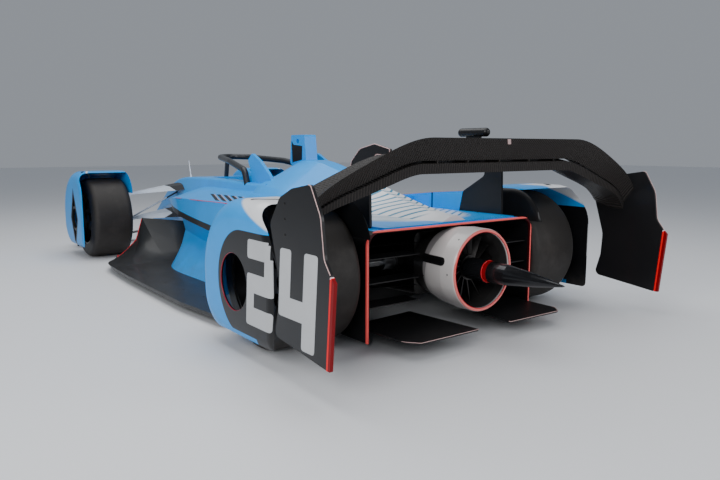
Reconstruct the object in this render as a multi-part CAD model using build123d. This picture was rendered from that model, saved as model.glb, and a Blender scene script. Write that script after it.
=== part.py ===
from build123d import *
import math
import os

os.makedirs("parts", exist_ok=True)

# The car in millimetres: +X forward, +Y to the car's left, +Z up.
# The origin is on the ground, under the middle of the car's overall box.

# Overall sizes
overall_length = 5000.0
overall_width = 2200.0
body_height = 1000.0      # height that the section tables' z shares are of
half_length = overall_length / 2
half_width = overall_width / 2

# Wheels
rear_axle_share = 0.612   # of half the length, behind the origin
front_axle_share = 0.680  # of half the length, ahead of it
rear_axle_x = -rear_axle_share * half_length
front_axle_x = front_axle_share * half_length
tyre_radius = 335.0
front_tyre_width = 320.0
rear_tyre_width = 380.0
front_tyre_inner_y = 600.0
rear_tyre_inner_y = 600.0
king_pin_y = 640.0
king_pin_radius = 12.0
eye_radius = 27.0
tyre_shoulder = 46.0
rim_radius = 229.0
rim_wall = 14.0
rim_flange = 6.0
spoke_count = 10
spoke_depth = 26.0
hub_radius = 46.0
spindle_radius = 24.0
spindle_gap = 0.3
drum_radius = 185.0
bracket_offset = 100.0
shaft_radius = 19.0
cup_radius = 42.0
motor_half = 130.0
motor_flange_half = 172.0
motor_flange_radius = 60.0
wheel_nut_radius = 34.0
wheel_nut_length = 22.0
wheel_gap = 8.0           # from a turning face to what stands still beside it
axle_z = tyre_radius

# Panels
skin = 12.0
thin_plate = 8.0
seat_gap = 0.3
overrun = 20.0            # how far a cutting tool passes the face that it cuts

# Rear box, rotor housing and wing
box_front_reach = 350.0   # ahead of the rear axle
box_rear_reach = 310.0    # behind it
box_front_x = rear_axle_x + box_front_reach
box_rear_x = rear_axle_x - box_rear_reach
box_half = 570.0
deck_share = 0.550        # of the body height
box_top_z = deck_share * body_height
box_bottom_z = 30.0
box_height = box_top_z - box_bottom_z
box_corner = 66.0
window_half = 175.0       # the side openings for the arms, each way from the axle
window_top_gap = 65.0
window_drop = 150.0
window_top_z = box_top_z - window_top_gap
window_bottom_z = axle_z - window_drop
wall_thickness = 14.0
post_y = 470.0            # outer face of the deck walls and wing posts
duct_axis_share = 0.5962  # of the box's height, counted from its bottom
duct_radius_share = 0.3923
duct_axis_z = box_bottom_z + duct_axis_share * box_height
duct_radius = duct_radius_share * box_height
duct_overhang = 190.0     # behind the box
duct_length = 295.0
duct_rear_x = box_rear_x - duct_overhang
duct_front_x = duct_rear_x + duct_length
duct_wall = 16.0
rotor_hub_radius = 62.0
rotor_gap = 7.0
rotor_setback = 130.0     # from the housing's rear lip
rotor_x = duct_rear_x + rotor_setback
rotor_depth = 74.0
rotor_blades = 15
blade_thickness = 5.0
blade_pitch = 34.0
duct_spindle_radius = 26.0
spike_radius = 53.0
spike_overhang = 32.0     # of its root, behind the housing's lip
spike_root_x = duct_rear_x - spike_overhang

# Floor
floor_share = 0.062       # of the body height
floor_z = floor_share * body_height
floor_thickness = 22.0
floor_rear_x = box_front_x
floor_half = 1000.0
floor_tail_inset = 10.0
floor_tail_half = box_half - floor_tail_inset
floor_ramp_share = 0.280  # of half the length
floor_ramp_x = floor_ramp_share * half_length
lip_gap = 195.0           # behind the front tyre
floor_lip_x = front_axle_x - tyre_radius - lip_gap

# Tub, cockpit and what is in it
cockpit_front_share = 0.312
cockpit_rear_share = -0.136
cockpit_front_x = cockpit_front_share * half_length
cockpit_rear_x = cockpit_rear_share * half_length
cockpit_half = 235.0
tub_bottom_share = 0.150  # of the body height
tub_floor = 40.0
tub_bottom_z = tub_bottom_share * body_height
cockpit_floor_z = tub_bottom_z + tub_floor
cockpit_corner = 90.0
foot_well_gap = 220.0     # behind the front axle
foot_well_front_x = front_axle_x - foot_well_gap
foot_well_half = 130.0
foot_well_share = 0.560   # of the body height
foot_well_top_z = foot_well_share * body_height
endplate_thickness = 14.0
strip_width = 24.0
strip_proud = 2.0         # how far the lamp strips stand out past the endplates


def block(x0, x1, y0, y1, z0, z1):
    "A box between two corners."
    body = Box(abs(x1 - x0), abs(y1 - y0), abs(z1 - z0))
    return Pos((x0 + x1) / 2, (y0 + y1) / 2, (z0 + z1) / 2) * body


def mirrored(shape):
    "The same piece on the car's other side."
    return mirror(shape, about=Plane.XZ)


def rounded_face(points, radii):
    "A flat face from its corners, each with its own rounding."
    path = FilletPolyline(*points, radius=radii, close=True)
    return make_face(path.edges())


def side_plate(points, radii, y, thickness):
    "A plate standing along the car: corners in x and z, outer face at y, thickness inwards."
    face = rounded_face([Vector(px, y, pz) for px, pz in points], radii)
    return extrude(face, amount=thickness, dir=(0, -math.copysign(1, y), 0))


def plan_plate(points, radii, z, thickness):
    "A level plate: corners in x and y, top face at z, thickness downwards."
    face = rounded_face([Vector(px, py, z) for px, py in points], radii)
    return extrude(face, amount=thickness, dir=(0, 0, -1))


def body_loft(rows, radius):
    "A smooth body through rows of (x, ((y, z), ...)), corners rounded alike."
    faces = []
    for x, corners in rows:
        points = [Vector(x, y, z) for y, z in corners]
        faces.append(rounded_face(points, [radius] * len(points)))
    return loft(faces)


def cross_tube(radius, y0, y1, x, z):
    "A round bar across the car."
    bar = Cylinder(radius, abs(y1 - y0))
    return Pos(x, (y0 + y1) / 2, z) * Rot(90, 0, 0) * bar


def long_tube(radius, x0, x1, y, z):
    "A round bar along the car."
    bar = Cylinder(radius, abs(x1 - x0))
    return Pos((x0 + x1) / 2, y, z) * Rot(0, 90, 0) * bar


# Tub: columns are x, half width at the bottom, at the waist and at the top, as shares of
# half the width, then the height of bottom, waist and top as shares of the body height;
# x is a share of half the length.
tub_shares = (
    (0.968, 0.060, 0.085, 0.062, 0.185, 0.222, 0.258),
    (0.840, 0.080, 0.125, 0.090, 0.180, 0.300, 0.410),
    (0.680, 0.100, 0.170, 0.120, 0.172, 0.410, 0.600),
    (0.560, 0.125, 0.215, 0.155, 0.168, 0.440, 0.664),
    (0.400, 0.165, 0.270, 0.200, 0.160, 0.455, 0.690),
    (0.200, 0.205, 0.320, 0.255, 0.150, 0.475, 0.702),
    (-0.020, 0.220, 0.345, 0.290, 0.150, 0.480, 0.700),
    (-0.180, 0.220, 0.345, 0.300, 0.150, 0.480, 0.700),
)
tub_corner = 24.0


def tub_outer():
    rows = []
    for xs, bottom, waist, top, zb, zw, zt in tub_shares:
        b, w, t = bottom * half_width, waist * half_width, top * half_width
        z0, z1, z2 = zb * body_height, zw * body_height, zt * body_height
        rows.append((xs * half_length,
                     ((-b, z0), (b, z0), (w, z1), (t, z2), (-t, z2), (-w, z1))))
    return body_loft(rows, tub_corner)


def cockpit_space():
    "The room for the driver: an opening from above and a tunnel for the legs."
    narrow = cockpit_half * 0.62
    corners = ((cockpit_rear_x, -cockpit_half), (cockpit_front_x * 0.55, -cockpit_half),
               (cockpit_front_x, -narrow), (cockpit_front_x, narrow),
               (cockpit_front_x * 0.55, cockpit_half), (cockpit_rear_x, cockpit_half))
    top = body_height
    radii = [cockpit_corner * r for r in (0.5, 1, 1, 1, 1, 0.5)]
    opening = plan_plate(corners, radii, top, top - cockpit_floor_z)
    tunnel = block(cockpit_front_x - cockpit_corner, foot_well_front_x,
                   -foot_well_half, foot_well_half,
                   cockpit_floor_z + skin, foot_well_top_z - skin)
    return opening + tunnel


def make_tub(outer):
    return outer - cockpit_space()


# Engine cover: columns are x (share of half the length), half width of base, shoulder and
# ridge (shares of half the width), heights of shoulder and ridge (shares of the body height).
cover_shares = (
    (-0.137, 0.390, 0.290, 0.060, 0.690, 0.800),
    (-0.220, 0.400, 0.300, 0.055, 0.680, 0.850),
    (-0.320, 0.415, 0.270, 0.050, 0.650, 0.810),
    (-0.463, 0.415, 0.220, 0.040, 0.600, 0.720),
    (-0.600, 0.415, 0.160, 0.030, 0.572, 0.640),
    (-0.730, 0.415, 0.080, 0.022, 0.560, 0.590),
)
cover_edge_share = 0.560
cover_edge_z = cover_edge_share * body_height


def make_cover():
    rows = []
    for xs, base, shoulder, ridge, zs, zr in cover_shares:
        b = min(base * half_width, post_y - wall_thickness)
        s, r = shoulder * half_width, ridge * half_width
        rows.append((xs * half_length,
                     ((-b, box_top_z), (b, box_top_z), (b, cover_edge_z),
                      (s, zs * body_height), (r, zr * body_height),
                      (-r, zr * body_height), (-s, zs * body_height), (-b, cover_edge_z))))
    faces = []
    for x, corners in rows:
        faces.append(make_face(Polyline(*[Vector(x, y, z) for y, z in corners], close=True).edges()))
    return loft(faces)


# Sidepod: columns are x (share of half the length), then y (share of half the width) and
# z (share of the body height) of the crease and of the belt, and z of the inner top edge.
pod_shares = (
    (0.378, 0.405, 0.517, 0.385, 0.470, 0.560),
    (0.205, 0.500, 0.562, 0.495, 0.432, 0.640),
    (0.000, 0.540, 0.578, 0.550, 0.408, 0.655),
    (-0.200, 0.550, 0.590, 0.565, 0.375, 0.655),
    (-0.400, 0.465, 0.612, 0.470, 0.360, 0.645),
)
# Its foot: x, y of the belt, waist and foot, z of the belt and waist.
boot_shares = (
    (0.274, 0.420, 0.385, 0.450, 0.445, 0.300),
    (0.200, 0.470, 0.410, 0.560, 0.430, 0.290),
    (0.000, 0.520, 0.455, 0.605, 0.405, 0.270),
    (-0.200, 0.535, 0.480, 0.600, 0.372, 0.255),
    (-0.400, 0.450, 0.430, 0.500, 0.357, 0.250),
)
pod_inner_share = 0.26


def make_sidepod(tub, cover):
    "One side's pod on the left: it lies on the tub and on the floor."
    inner = pod_inner_share * half_width
    upper = []
    for xs, yc, zc, yb, zb, zt in pod_shares:
        corners = ((inner, zb * body_height), (yb * half_width, zb * body_height),
                   (yc * half_width, zc * body_height), (inner, zt * body_height))
        upper.append(make_face(Polyline(
            *[Vector(xs * half_length, y, z) for y, z in corners], close=True).edges()))
    lower = []
    for xs, yb, yw, yf, zb, zw in boot_shares:
        corners = ((inner, floor_z), (yf * half_width, floor_z),
                   (yw * half_width, zw * body_height), (yb * half_width, zb * body_height + skin),
                   (inner, zb * body_height + skin))
        lower.append(make_face(Polyline(
            *[Vector(xs * half_length, y, z) for y, z in corners], close=True).edges()))
    pod = loft(upper) + loft(lower)
    return (pod - tub - cover).solids().sort_by(lambda s: s.volume)[-1]


# Roll hoop: corners of its side view, x as a share of half the length, z of the body height.
hoop_shares = ((-0.210, 0.700), (-0.138, 0.700), (-0.138, 0.775), (-0.114, 0.830),
               (-0.122, 1.015), (-0.188, 1.015), (-0.196, 0.860))
hoop_thickness = 90.0
hoop_corners = (10.0, 10.0, 20.0, 30.0, 10.0, 10.0, 30.0)
lift_eye_radius = 16.0
lift_eye_shares = (-0.155, 0.972)


def make_hoop(tub, cover):
    points = [(xs * half_length, zs * body_height) for xs, zs in hoop_shares]
    hoop = side_plate(points, hoop_corners, hoop_thickness / 2, hoop_thickness)
    eye_x, eye_z = lift_eye_shares[0] * half_length, lift_eye_shares[1] * body_height
    eye = cross_tube(lift_eye_radius, -hoop_thickness, hoop_thickness, eye_x, eye_z)
    return hoop - eye - tub - cover


# Head side fins: side view corners.
fin_shares = ((-0.190, 0.640), (-0.040, 0.640), (-0.060, 0.770), (-0.040, 0.846),
              (-0.066, 0.892), (-0.110, 0.842), (-0.160, 0.755))
fin_corners = (6.0, 6.0, 60.0, 24.0, 16.0, 90.0, 60.0)
fin_y = 272.0
fin_thickness = 22.0


def make_fin(tub, cover):
    points = [(xs * half_length, zs * body_height) for xs, zs in fin_shares]
    fin = side_plate(points, fin_corners, fin_y, fin_thickness) - tub - cover
    return fin.solids().sort_by(lambda solid: solid.volume)[-1]


# Halo: points of its left half, x, y and z as shares of half length, half width and height.
halo_shares = ((-0.066, 0.276, 0.640), (-0.040, 0.270, 0.778), (0.110, 0.206, 0.832),
               (0.265, 0.112, 0.856), (0.316, 0.000, 0.860))
halo_radius = 22.0
halo_bends = (60.0, 320.0, 90.0, 90.0, 90.0, 320.0, 60.0)
halo_post_shares = (0.336, 0.640)


def make_halo(tub):
    left = [Vector(xs * half_length, ys * half_width, zs * body_height)
            for xs, ys, zs in halo_shares]
    right = [Vector(p.X, -p.Y, p.Z) for p in reversed(left[:-1])]
    path = FilletPolyline(*(left + right), radius=list(halo_bends))
    ring = sweep(Plane(path @ 0, z_dir=path % 0) * Circle(halo_radius), path=path)
    top = left[-1]
    foot = Vector(halo_post_shares[0] * half_length, 0, halo_post_shares[1] * body_height)
    lean = Plane(foot, z_dir=top - foot)
    post = extrude(lean * Ellipse(halo_radius * 1.5, halo_radius * 0.55), (top - foot).length)
    return ring + post - tub


# Front wing: stations across the left half, y share of half width, leading edge x share,
# height share and chord.
nose_wing_shares = ((0.000, 0.990, 0.120), (0.300, 1.000, 0.075), (0.620, 0.990, 0.070),
                    (0.756, 0.975, 0.085))
nose_wing_chord = 150.0
nose_wing_thickness = 17.0
nose_flap_chord = 90.0
nose_flap_rise = 40.0
nose_endplate_y = 840.0
nose_plate_shares = ((0.884, 0.060), (1.000, 0.060), (1.000, 0.090), (0.976, 0.190), (0.888, 0.215))
nose_plate_corners = (8.0, 8.0, 20.0, 40.0, 30.0)
nose_strut_shares = (0.903, 0.949, 0.096, 0.235)     # rear and front x, low and high z
nose_strut_y = 50.0


def wing_slice(x, y, z, chord, thickness, rise):
    "An aerofoil-like slice with a round nose in front and a thin tail behind."
    t = thickness
    return make_face(Polyline(
        Vector(x, y, z), Vector(x - chord * 0.12, y, z + t * 0.5),
        Vector(x - chord * 0.5, y, z + t * 0.45 + rise * 0.3),
        Vector(x - chord, y, z + rise + t * 0.14), Vector(x - chord, y, z + rise - t * 0.14),
        Vector(x - chord * 0.5, y, z - t * 0.55 + rise * 0.3),
        Vector(x - chord * 0.12, y, z - t * 0.5), close=True).edges())


def make_front_wing(tub):
    main, flap = [], []
    for ys, xs, zs in nose_wing_shares:
        x, y, z = xs * half_length, ys * half_width, zs * body_height
        main.append(wing_slice(x, y, z, nose_wing_chord, nose_wing_thickness, nose_flap_rise * 0.3))
        flap.append(wing_slice(x - nose_wing_chord * 0.9, y, z + nose_flap_rise * 0.6,
                               nose_flap_chord, nose_wing_thickness * 0.7, nose_flap_rise))
    left = loft(main, ruled=True) + loft(flap[1:], ruled=True)
    end_points = [(xs * half_length, zs * body_height) for xs, zs in nose_plate_shares]
    end = side_plate(end_points, nose_plate_corners, nose_endplate_y, thin_plate)
    rear, front, low, high = nose_strut_shares
    strut = block(rear * half_length, front * half_length, nose_strut_y, nose_strut_y + thin_plate,
                  low * body_height, high * body_height)
    left = left + end + strut
    return left + mirrored(left) - tub


def tyre(width, inner_y, x):
    ring = Cylinder(tyre_radius, width)
    outer = ring.edges().filter_by(GeomType.CIRCLE)
    ring = fillet(outer, tyre_shoulder) - Cylinder(rim_radius, width + overrun)
    return Pos(x, inner_y + width / 2, axle_z) * Rot(90, 0, 0) * ring


def rim(width, inner_y, x, bore_radius):
    "A wheel: barrel, spoked disc and hub, open on its inner side."
    outer_y = inner_y + width
    barrel = cross_tube(rim_radius, inner_y + rim_flange, outer_y - rim_flange, x, axle_z)
    barrel -= cross_tube(rim_radius - rim_wall, inner_y - overrun, outer_y + overrun, x, axle_z)
    disc_y = outer_y - 3 * spoke_depth
    disc = cross_tube(rim_radius - rim_wall / 2, disc_y, disc_y + spoke_depth, x, axle_z)
    hole_mid = (rim_radius - rim_wall + hub_radius) / 2
    hole_radius = hole_mid * math.sin(math.pi / spoke_count) * 0.78
    for i in range(spoke_count):
        a = 2 * math.pi * i / spoke_count
        spot_x = x + (hole_mid + hole_radius * 0.5) * math.cos(a)
        spot_z = axle_z + (hole_mid + hole_radius * 0.5) * math.sin(a)
        disc -= cross_tube(hole_radius, disc_y - overrun, disc_y + 3 * spoke_depth, spot_x, spot_z)
    hub = cross_tube(hub_radius, hub_inner_y(inner_y, width), disc_y + spoke_depth, x, axle_z)
    wheel = barrel + disc + hub
    bore = cross_tube(bore_radius, inner_y - overrun, disc_y + spoke_depth * 0.5, x, axle_z)
    nut = cross_tube(wheel_nut_radius, disc_y + spoke_depth,
                     disc_y + spoke_depth + wheel_nut_length, x, axle_z)
    return wheel - bore + nut


def hub_inner_y(inner_y, width):
    return inner_y + width * 0.36


bracket_half = 6.0
bracket_height = 22.0
bracket_seat = 2.0
lug_half = 60.0
lug_thickness = 20.0
lug_drop = 130.0
lug_rise = 140.0
cup_length = 70.0
cup_gap = 30.0


def front_upright():
    "The carrier inside a front wheel: a drum, a spindle and a king pin through both arms' eyes."
    x, width, inner_y = front_axle_x, front_tyre_width, front_tyre_inner_y
    face_y = hub_inner_y(inner_y, width) - wheel_gap
    drum = cross_tube(drum_radius, king_pin_y + eye_radius + wheel_gap, face_y, x, axle_z)
    spindle = cross_tube(spindle_radius, face_y, inner_y + width - 3 * spoke_depth, x, axle_z)
    eye_half = arm_thickness / 2 + wheel_gap / 2
    lug = block(x - eye_radius, x + eye_radius, king_pin_y - eye_radius * 0.7,
                king_pin_y + eye_radius + wheel_gap, lower_tip_z + eye_half, upper_tip_z - eye_half)
    pin_low, pin_high = lower_tip_z - eye_radius, upper_tip_z + eye_radius
    pin = Pos(x, king_pin_y, (pin_low + pin_high) / 2) * Cylinder(king_pin_radius, pin_high - pin_low)
    body = drum + spindle + lug + pin
    for side in (-1, 1):
        bx = x + side * bracket_offset
        low = axle_z + drum_radius * 0.62
        near = front_fairing_inner_y + bracket_seat
        body += block(bx - bracket_half, bx + bracket_half, near,
                      king_pin_y + eye_radius + wheel_gap, low, low + bracket_height)
        body += block(bx - bracket_half, bx + bracket_half, near, near + skin,
                      low, front_fairing_slot_z - seat_gap)
    return body


def rear_upright():
    "The carrier inside a rear wheel: a drum with the axle's bearing, and a lug for the arms."
    x, width, inner_y = rear_axle_x, rear_tyre_width, rear_tyre_inner_y
    face_y = hub_inner_y(inner_y, width) - wheel_gap
    drum = cross_tube(drum_radius, king_pin_y, face_y, x, axle_z)
    lug = block(x - lug_half, x + lug_half, king_pin_y - lug_thickness, king_pin_y,
                axle_z - lug_drop, axle_z + lug_rise)
    return drum + lug - cross_tube(shaft_radius + spindle_gap, inner_y - overrun, face_y + overrun, x, axle_z)


def make_driveshaft():
    "The turning axle from the motor case to a rear hub, with its two jointed cups."
    x = rear_axle_x
    inner = motor_flange_half + seat_gap
    outer = rear_tyre_inner_y + rear_tyre_width - 3 * spoke_depth
    shaft = cross_tube(shaft_radius, inner, outer, x, axle_z)
    shaft += cross_tube(cup_radius, inner, inner + cup_length, x, axle_z)
    shaft += cross_tube(cup_radius, king_pin_y - cup_gap - cup_length, king_pin_y - cup_gap, x, axle_z)
    return shaft


# Arms: side heights and plan corners of the left blades.
arm_root_y = 195.0
arm_kink_y = 500.0
upper_root_share = 0.608  # of the body height
lower_root_share = 0.392
upper_root_z = upper_root_share * body_height
lower_root_z = lower_root_share * body_height
upper_tip_rise = 160.0    # from the axle
lower_tip_drop = 60.0
upper_tip_z = axle_z + upper_tip_rise
lower_tip_z = axle_z - lower_tip_drop
arm_front_sweep = 300.0   # of the root's ends, behind the axle
arm_rear_sweep = 640.0
arm_root_front_x = front_axle_x - arm_front_sweep
arm_root_rear_x = front_axle_x - arm_rear_sweep
arm_tip_half = 30.0
arm_thickness = 14.0
upper_tilt = 20.0
lower_tilt = 34.0
rod_foot_gap = 20.0
rod_foot_rise = 45.0
rod_sweep = 330.0
rod_root_y = 190.0
rod_wide = 11.0
rod_thin = 7.0
rear_arm_bite = 12.0
rear_arm_half = 22.0
rear_arm_toe = 26.0
rear_arm_spread = 130.0
rear_arm_gap = 40.0       # inside the window's top and bottom
rear_arm_fall = 10.0


def blade_slice(y, z, x_rear, x_front, thickness, tilt):
    "A lens-shaped slice of an arm, its front edge lifted by the tilt."
    mid = (x_rear + x_front) / 2
    return make_face(Polyline(
        Vector(x_rear, y, z - tilt), Vector(mid, y, z + thickness / 2),
        Vector(x_front, y, z + tilt), Vector(mid, y, z - thickness / 2), close=True).edges())


def front_arm(root_z, tip_z, tilt, tub):
    "A front blade arm: wide at the tub, a narrow spar at the tyre, and an eye on the king pin."
    root_y, x = arm_root_y, front_axle_x
    kink_z = root_z + (tip_z - root_z) * (arm_kink_y - root_y) / (king_pin_y - root_y)
    end_y = king_pin_y - eye_radius * 0.6
    faces = [blade_slice(root_y, root_z, arm_root_rear_x, arm_root_front_x, arm_thickness * 1.6, tilt),
             blade_slice(arm_kink_y, kink_z, x - arm_tip_half * 2.2, x + arm_tip_half,
                         arm_thickness * 1.3, tilt * 0.3),
             blade_slice(end_y, tip_z, x - arm_tip_half * 0.8, x + arm_tip_half * 0.8,
                         arm_thickness, 0.0)]
    eye = Pos(x, king_pin_y, tip_z) * Cylinder(eye_radius, arm_thickness)
    hole = Pos(x, king_pin_y, tip_z) * Cylinder(king_pin_radius + spindle_gap, 3 * arm_thickness)
    arm = loft(faces, ruled=True) + eye - hole
    return (arm - tub).solids().sort_by(lambda solid: solid.volume)[-1]


def push_rod(tub):
    "The thin strut from the lower arm up to the tub."
    low = Vector(front_axle_x - rod_foot_gap, arm_kink_y + rod_foot_gap, lower_tip_z + rod_foot_rise)
    high = Vector(front_axle_x - rod_sweep, rod_root_y, foot_well_top_z)
    rod = extrude(Plane(low, z_dir=high - low) * Ellipse(rod_wide, rod_thin), (high - low).length)
    return rod - tub


def rear_arm(z_inner, z_outer, case):
    "A rear wishbone: two struts from the motor case that meet at the upright."
    y0, y1 = motor_half - rear_arm_bite, king_pin_y - lug_thickness - seat_gap
    legs = []
    for side in (-1, 1):
        x0, x1 = rear_axle_x + side * rear_arm_spread, rear_axle_x + side * rear_arm_toe
        faces = [blade_slice(y0, z_inner, x0 - rear_arm_half, x0 + rear_arm_half, arm_thickness, 0.0),
                 blade_slice(y1, z_outer, x1 - rear_arm_half, x1 + rear_arm_half, arm_thickness, 0.0)]
        legs.append(loft(faces, ruled=True) - case)
    return legs[0] + legs[1]


front_fairing_radius = 398.0
front_fairing_rear = 285.0     # behind the axle
front_fairing_bottom = 70.0
front_fairing_inner_y = 578.0
front_fairing_outer_y = 1000.0
fairing_round = 84.0
front_fairing_slot_z = 548.0   # below this its inner side is open for the arms

rear_fairing_radius = 372.0
rear_fairing_nose = 376.0      # ahead of the axle
rear_fairing_inner_y = 584.0
rear_fairing_outer_y = 1085.0
rear_fairing_rear = 388.0
rear_fairing_bottom = 52.0
front_back_round_share = 0.50  # of the fairing's radius
rear_back_round_share = 0.62
rear_hub_hole = 132.0
front_hub_hole = 84.0
front_hub_ring = 104.0
ring_step = 4.0
diamond_half = 92.0
diamond_rise = 210.0
diamond_corners = (20.0, 6.0, 20.0, 6.0)
frame_half = 130.0            # of the plate that the diamond is cut in
frame_rise = 262.0
frame_drop = 250.0
frame_corners = (24.0, 8.0, 24.0, 8.0)
stay_rear = 160.0             # behind the axle
stay_front = 60.0
stay_drop = 25.0              # under the deck
stay_thickness = 18.0
stay_bite = 20.0


def drum_profile(radius, x, back_x, low_z, y, bulge, back_round):
    "The side outline of a fairing: round in front, straight down behind."
    r = radius
    front = x + r + bulge
    points = [Vector(back_x, y, axle_z + r), Vector(front, y, axle_z + r),
              Vector(front, y, low_z), Vector(back_x, y, low_z)]
    return rounded_face(points, [r * back_round, r * 0.98, r * 0.56, r * 0.12])


def fairing(radius, x, back_x, low_z, inner_y, outer_y, bulge, back_round):
    outer = extrude(drum_profile(radius, x, back_x, low_z, inner_y, bulge, back_round),
                    amount=outer_y - inner_y, dir=(0, 1, 0))
    rims = outer.edges().filter_by(lambda e: abs(e.center().Y - outer_y) < 1)
    outer = fillet(rims, fairing_round)
    lip = outer.edges().filter_by(lambda e: abs(e.center().Y - inner_y) < 1)
    outer = fillet(lip, fairing_round * 0.4)
    hollow = extrude(drum_profile(radius - skin, x, back_x - 6 * skin, low_z - 6 * skin,
                                  inner_y + skin, bulge, back_round),
                     amount=outer_y - inner_y - 2 * skin, dir=(0, 1, 0))
    rims = hollow.edges().filter_by(lambda e: abs(e.center().Y - outer_y + skin) < 1)
    hollow = fillet(rims, fairing_round - skin)
    return outer - hollow


def make_front_fairing():
    x = front_axle_x
    body = fairing(front_fairing_radius, x, x - front_fairing_rear, front_fairing_bottom,
                   front_fairing_inner_y, front_fairing_outer_y, 0.0, front_back_round_share)
    mid_y = front_fairing_inner_y + fairing_round
    body -= block(x - front_fairing_rear - overrun, x + front_fairing_radius + overrun,
                  front_fairing_inner_y - overrun, mid_y + overrun, 0, front_fairing_slot_z)
    outer_y = front_fairing_outer_y
    body -= side_plate(((x - diamond_half, axle_z), (x, axle_z + diamond_rise),
                        (x + diamond_half, axle_z), (x, axle_z - diamond_rise)),
                       diamond_corners, outer_y + overrun, 4 * overrun)
    wide = side_plate(((x - frame_half, axle_z), (x, axle_z + frame_rise),
                       (x + frame_half, axle_z), (x, axle_z - frame_drop)),
                      frame_corners, outer_y - skin, skin)
    ring = cross_tube(front_hub_ring, outer_y - 2 * skin, outer_y - ring_step, x, axle_z)
    hole = cross_tube(front_hub_hole, outer_y - 4 * skin, outer_y + skin, x, axle_z)
    return body + (wide + ring - hole)


def make_rear_fairing(tunnel):
    x = rear_axle_x
    bulge = rear_fairing_nose - rear_fairing_radius
    back = x - rear_fairing_rear
    body = fairing(rear_fairing_radius, x, back, rear_fairing_bottom,
                   rear_fairing_inner_y, rear_fairing_outer_y, bulge, rear_back_round_share)
    mid_y = rear_fairing_inner_y + fairing_round
    body -= block(back - overrun, x + rear_fairing_radius + rear_fairing_nose,
                  rear_fairing_inner_y - overrun, mid_y + overrun, 0, box_top_z - stay_drop)
    hole = cross_tube(rear_hub_hole, rear_fairing_outer_y - 3 * skin, rear_fairing_outer_y + skin, x, axle_z)
    stay = block(x - stay_rear, x - stay_front, box_half - stay_bite, rear_fairing_inner_y + skin,
                 box_top_z - stay_drop, box_top_z - stay_drop + stay_thickness)
    return body - hole + (stay - tunnel)


# Rear walls and wing posts
wall_shares = ((-0.330, 0.617), (-0.468, 0.654), (-0.574, 0.676), (-0.652, 0.690))
post_shares = ((-0.694, 0.550), (-0.562, 0.550), (-0.574, 0.676), (-0.645, 0.779),
               (-0.628, 0.850), (-0.662, 0.925), (-0.708, 0.948), (-0.752, 0.924),
               (-0.752, 0.896), (-0.712, 0.900), (-0.690, 0.840))


wall_corner = 4.0
post_corners = (4.0, 4.0, 30.0, 30.0, 40.0, 60.0, 60.0, 5.0, 5.0, 20.0, 30.0)


def make_posts():
    wall = [(xs * half_length, zs * body_height) for xs, zs in wall_shares]
    low = [(wall[-1][0], box_top_z), (wall[0][0], box_top_z)]
    panel = side_plate(wall + low, [wall_corner] * len(wall + low), post_y, wall_thickness)
    post = [(xs * half_length, zs * body_height) for xs, zs in post_shares]
    return panel, side_plate(post, post_corners, post_y, wall_thickness)


# Rear wing: stations of the left half: y and z of the band's middle, its lean in degrees and
# its size, y as a share of half the width and z of the body height.
arch_shares = (
    (0.000, 0.893, 0.0, 1.00),
    (0.440, 0.893, 0.0, 1.00),
    (0.560, 0.868, -15.0, 1.00),
    (0.700, 0.812, -23.0, 0.92),
    (0.860, 0.742, -32.0, 0.72),
    (1.008, 0.590, -62.0, 0.36),
)
# Wing slices: x share of half the length, height above the band's middle as a share of the
# body height.
main_shares = ((-0.742, -0.010), (-0.752, 0.010), (-0.800, -0.006), (-0.848, -0.030),
               (-0.846, -0.074), (-0.800, -0.066), (-0.755, -0.036))
flap_shares = ((-0.806, 0.006), (-0.812, 0.022), (-0.850, 0.052), (-0.874, 0.079),
               (-0.862, 0.040), (-0.846, -0.018), (-0.824, -0.006))


slot_bracket_shares = (0.0, 0.19, 0.36)     # of half the width


def slot_brackets(main):
    "Small plates that hold the flap over the slot behind the main plane."
    z = arch_shares[0][1] * body_height
    low, high = main_shares[4][1] * 0.6 * body_height, flap_shares[0][1] * body_height
    plates = []
    for share in slot_bracket_shares:
        y = share * half_width
        plates.append(block(flap_shares[5][0] * half_length, flap_shares[0][0] * half_length - thin_plate,
                            y - thin_plate / 2, y + thin_plate / 2, z + low, z + high) - main)
    return plates + [mirrored(plate) for plate in plates[1:]]


arch_middle_share = -0.810    # of half the length: the place that the slices shrink towards


def arch_loft(slice_shares):
    faces = []
    for ys, zs, lean, size in arch_shares:
        a = math.radians(lean)
        y0, z0 = ys * half_width, zs * body_height
        mid_x = arch_middle_share * half_length
        points = []
        for xs, hs in slice_shares:
            h = hs * body_height * size
            x = mid_x + (xs * half_length - mid_x) * (0.55 + 0.45 * size)
            points.append(Vector(x, y0 - h * math.sin(a), z0 + h * math.cos(a)))
        faces.append(make_face(Polyline(*points, close=True).edges()))
    inner = loft(faces[:2], ruled=True)
    outer = loft(faces[1:])
    half = inner + outer
    inside = half_width - strip_proud - endplate_thickness
    room = block(-half_length, 0, -overrun, inside, 0, overall_width)
    half = half & room
    return half + mirrored(half)


endplate_shares = ((-0.770, 0.184), (-0.920, 0.140), (-0.932, 0.489), (-0.916, 0.540),
                   (-0.908, 0.690), (-0.882, 0.801), (-0.830, 0.780), (-0.793, 0.741),
                   (-0.762, 0.634), (-0.773, 0.546), (-0.787, 0.430), (-0.784, 0.304))
endplate_corners = (30.0, 4.0, 10.0, 60.0, 90.0, 20.0, 60.0, 60.0, 40.0, 60.0, 120.0, 90.0)


def make_endplate():
    points = [(xs * half_length, zs * body_height) for xs, zs in endplate_shares]
    return side_plate(points, endplate_corners, half_width - strip_proud, endplate_thickness)


strip_corner = 3.0


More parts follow.
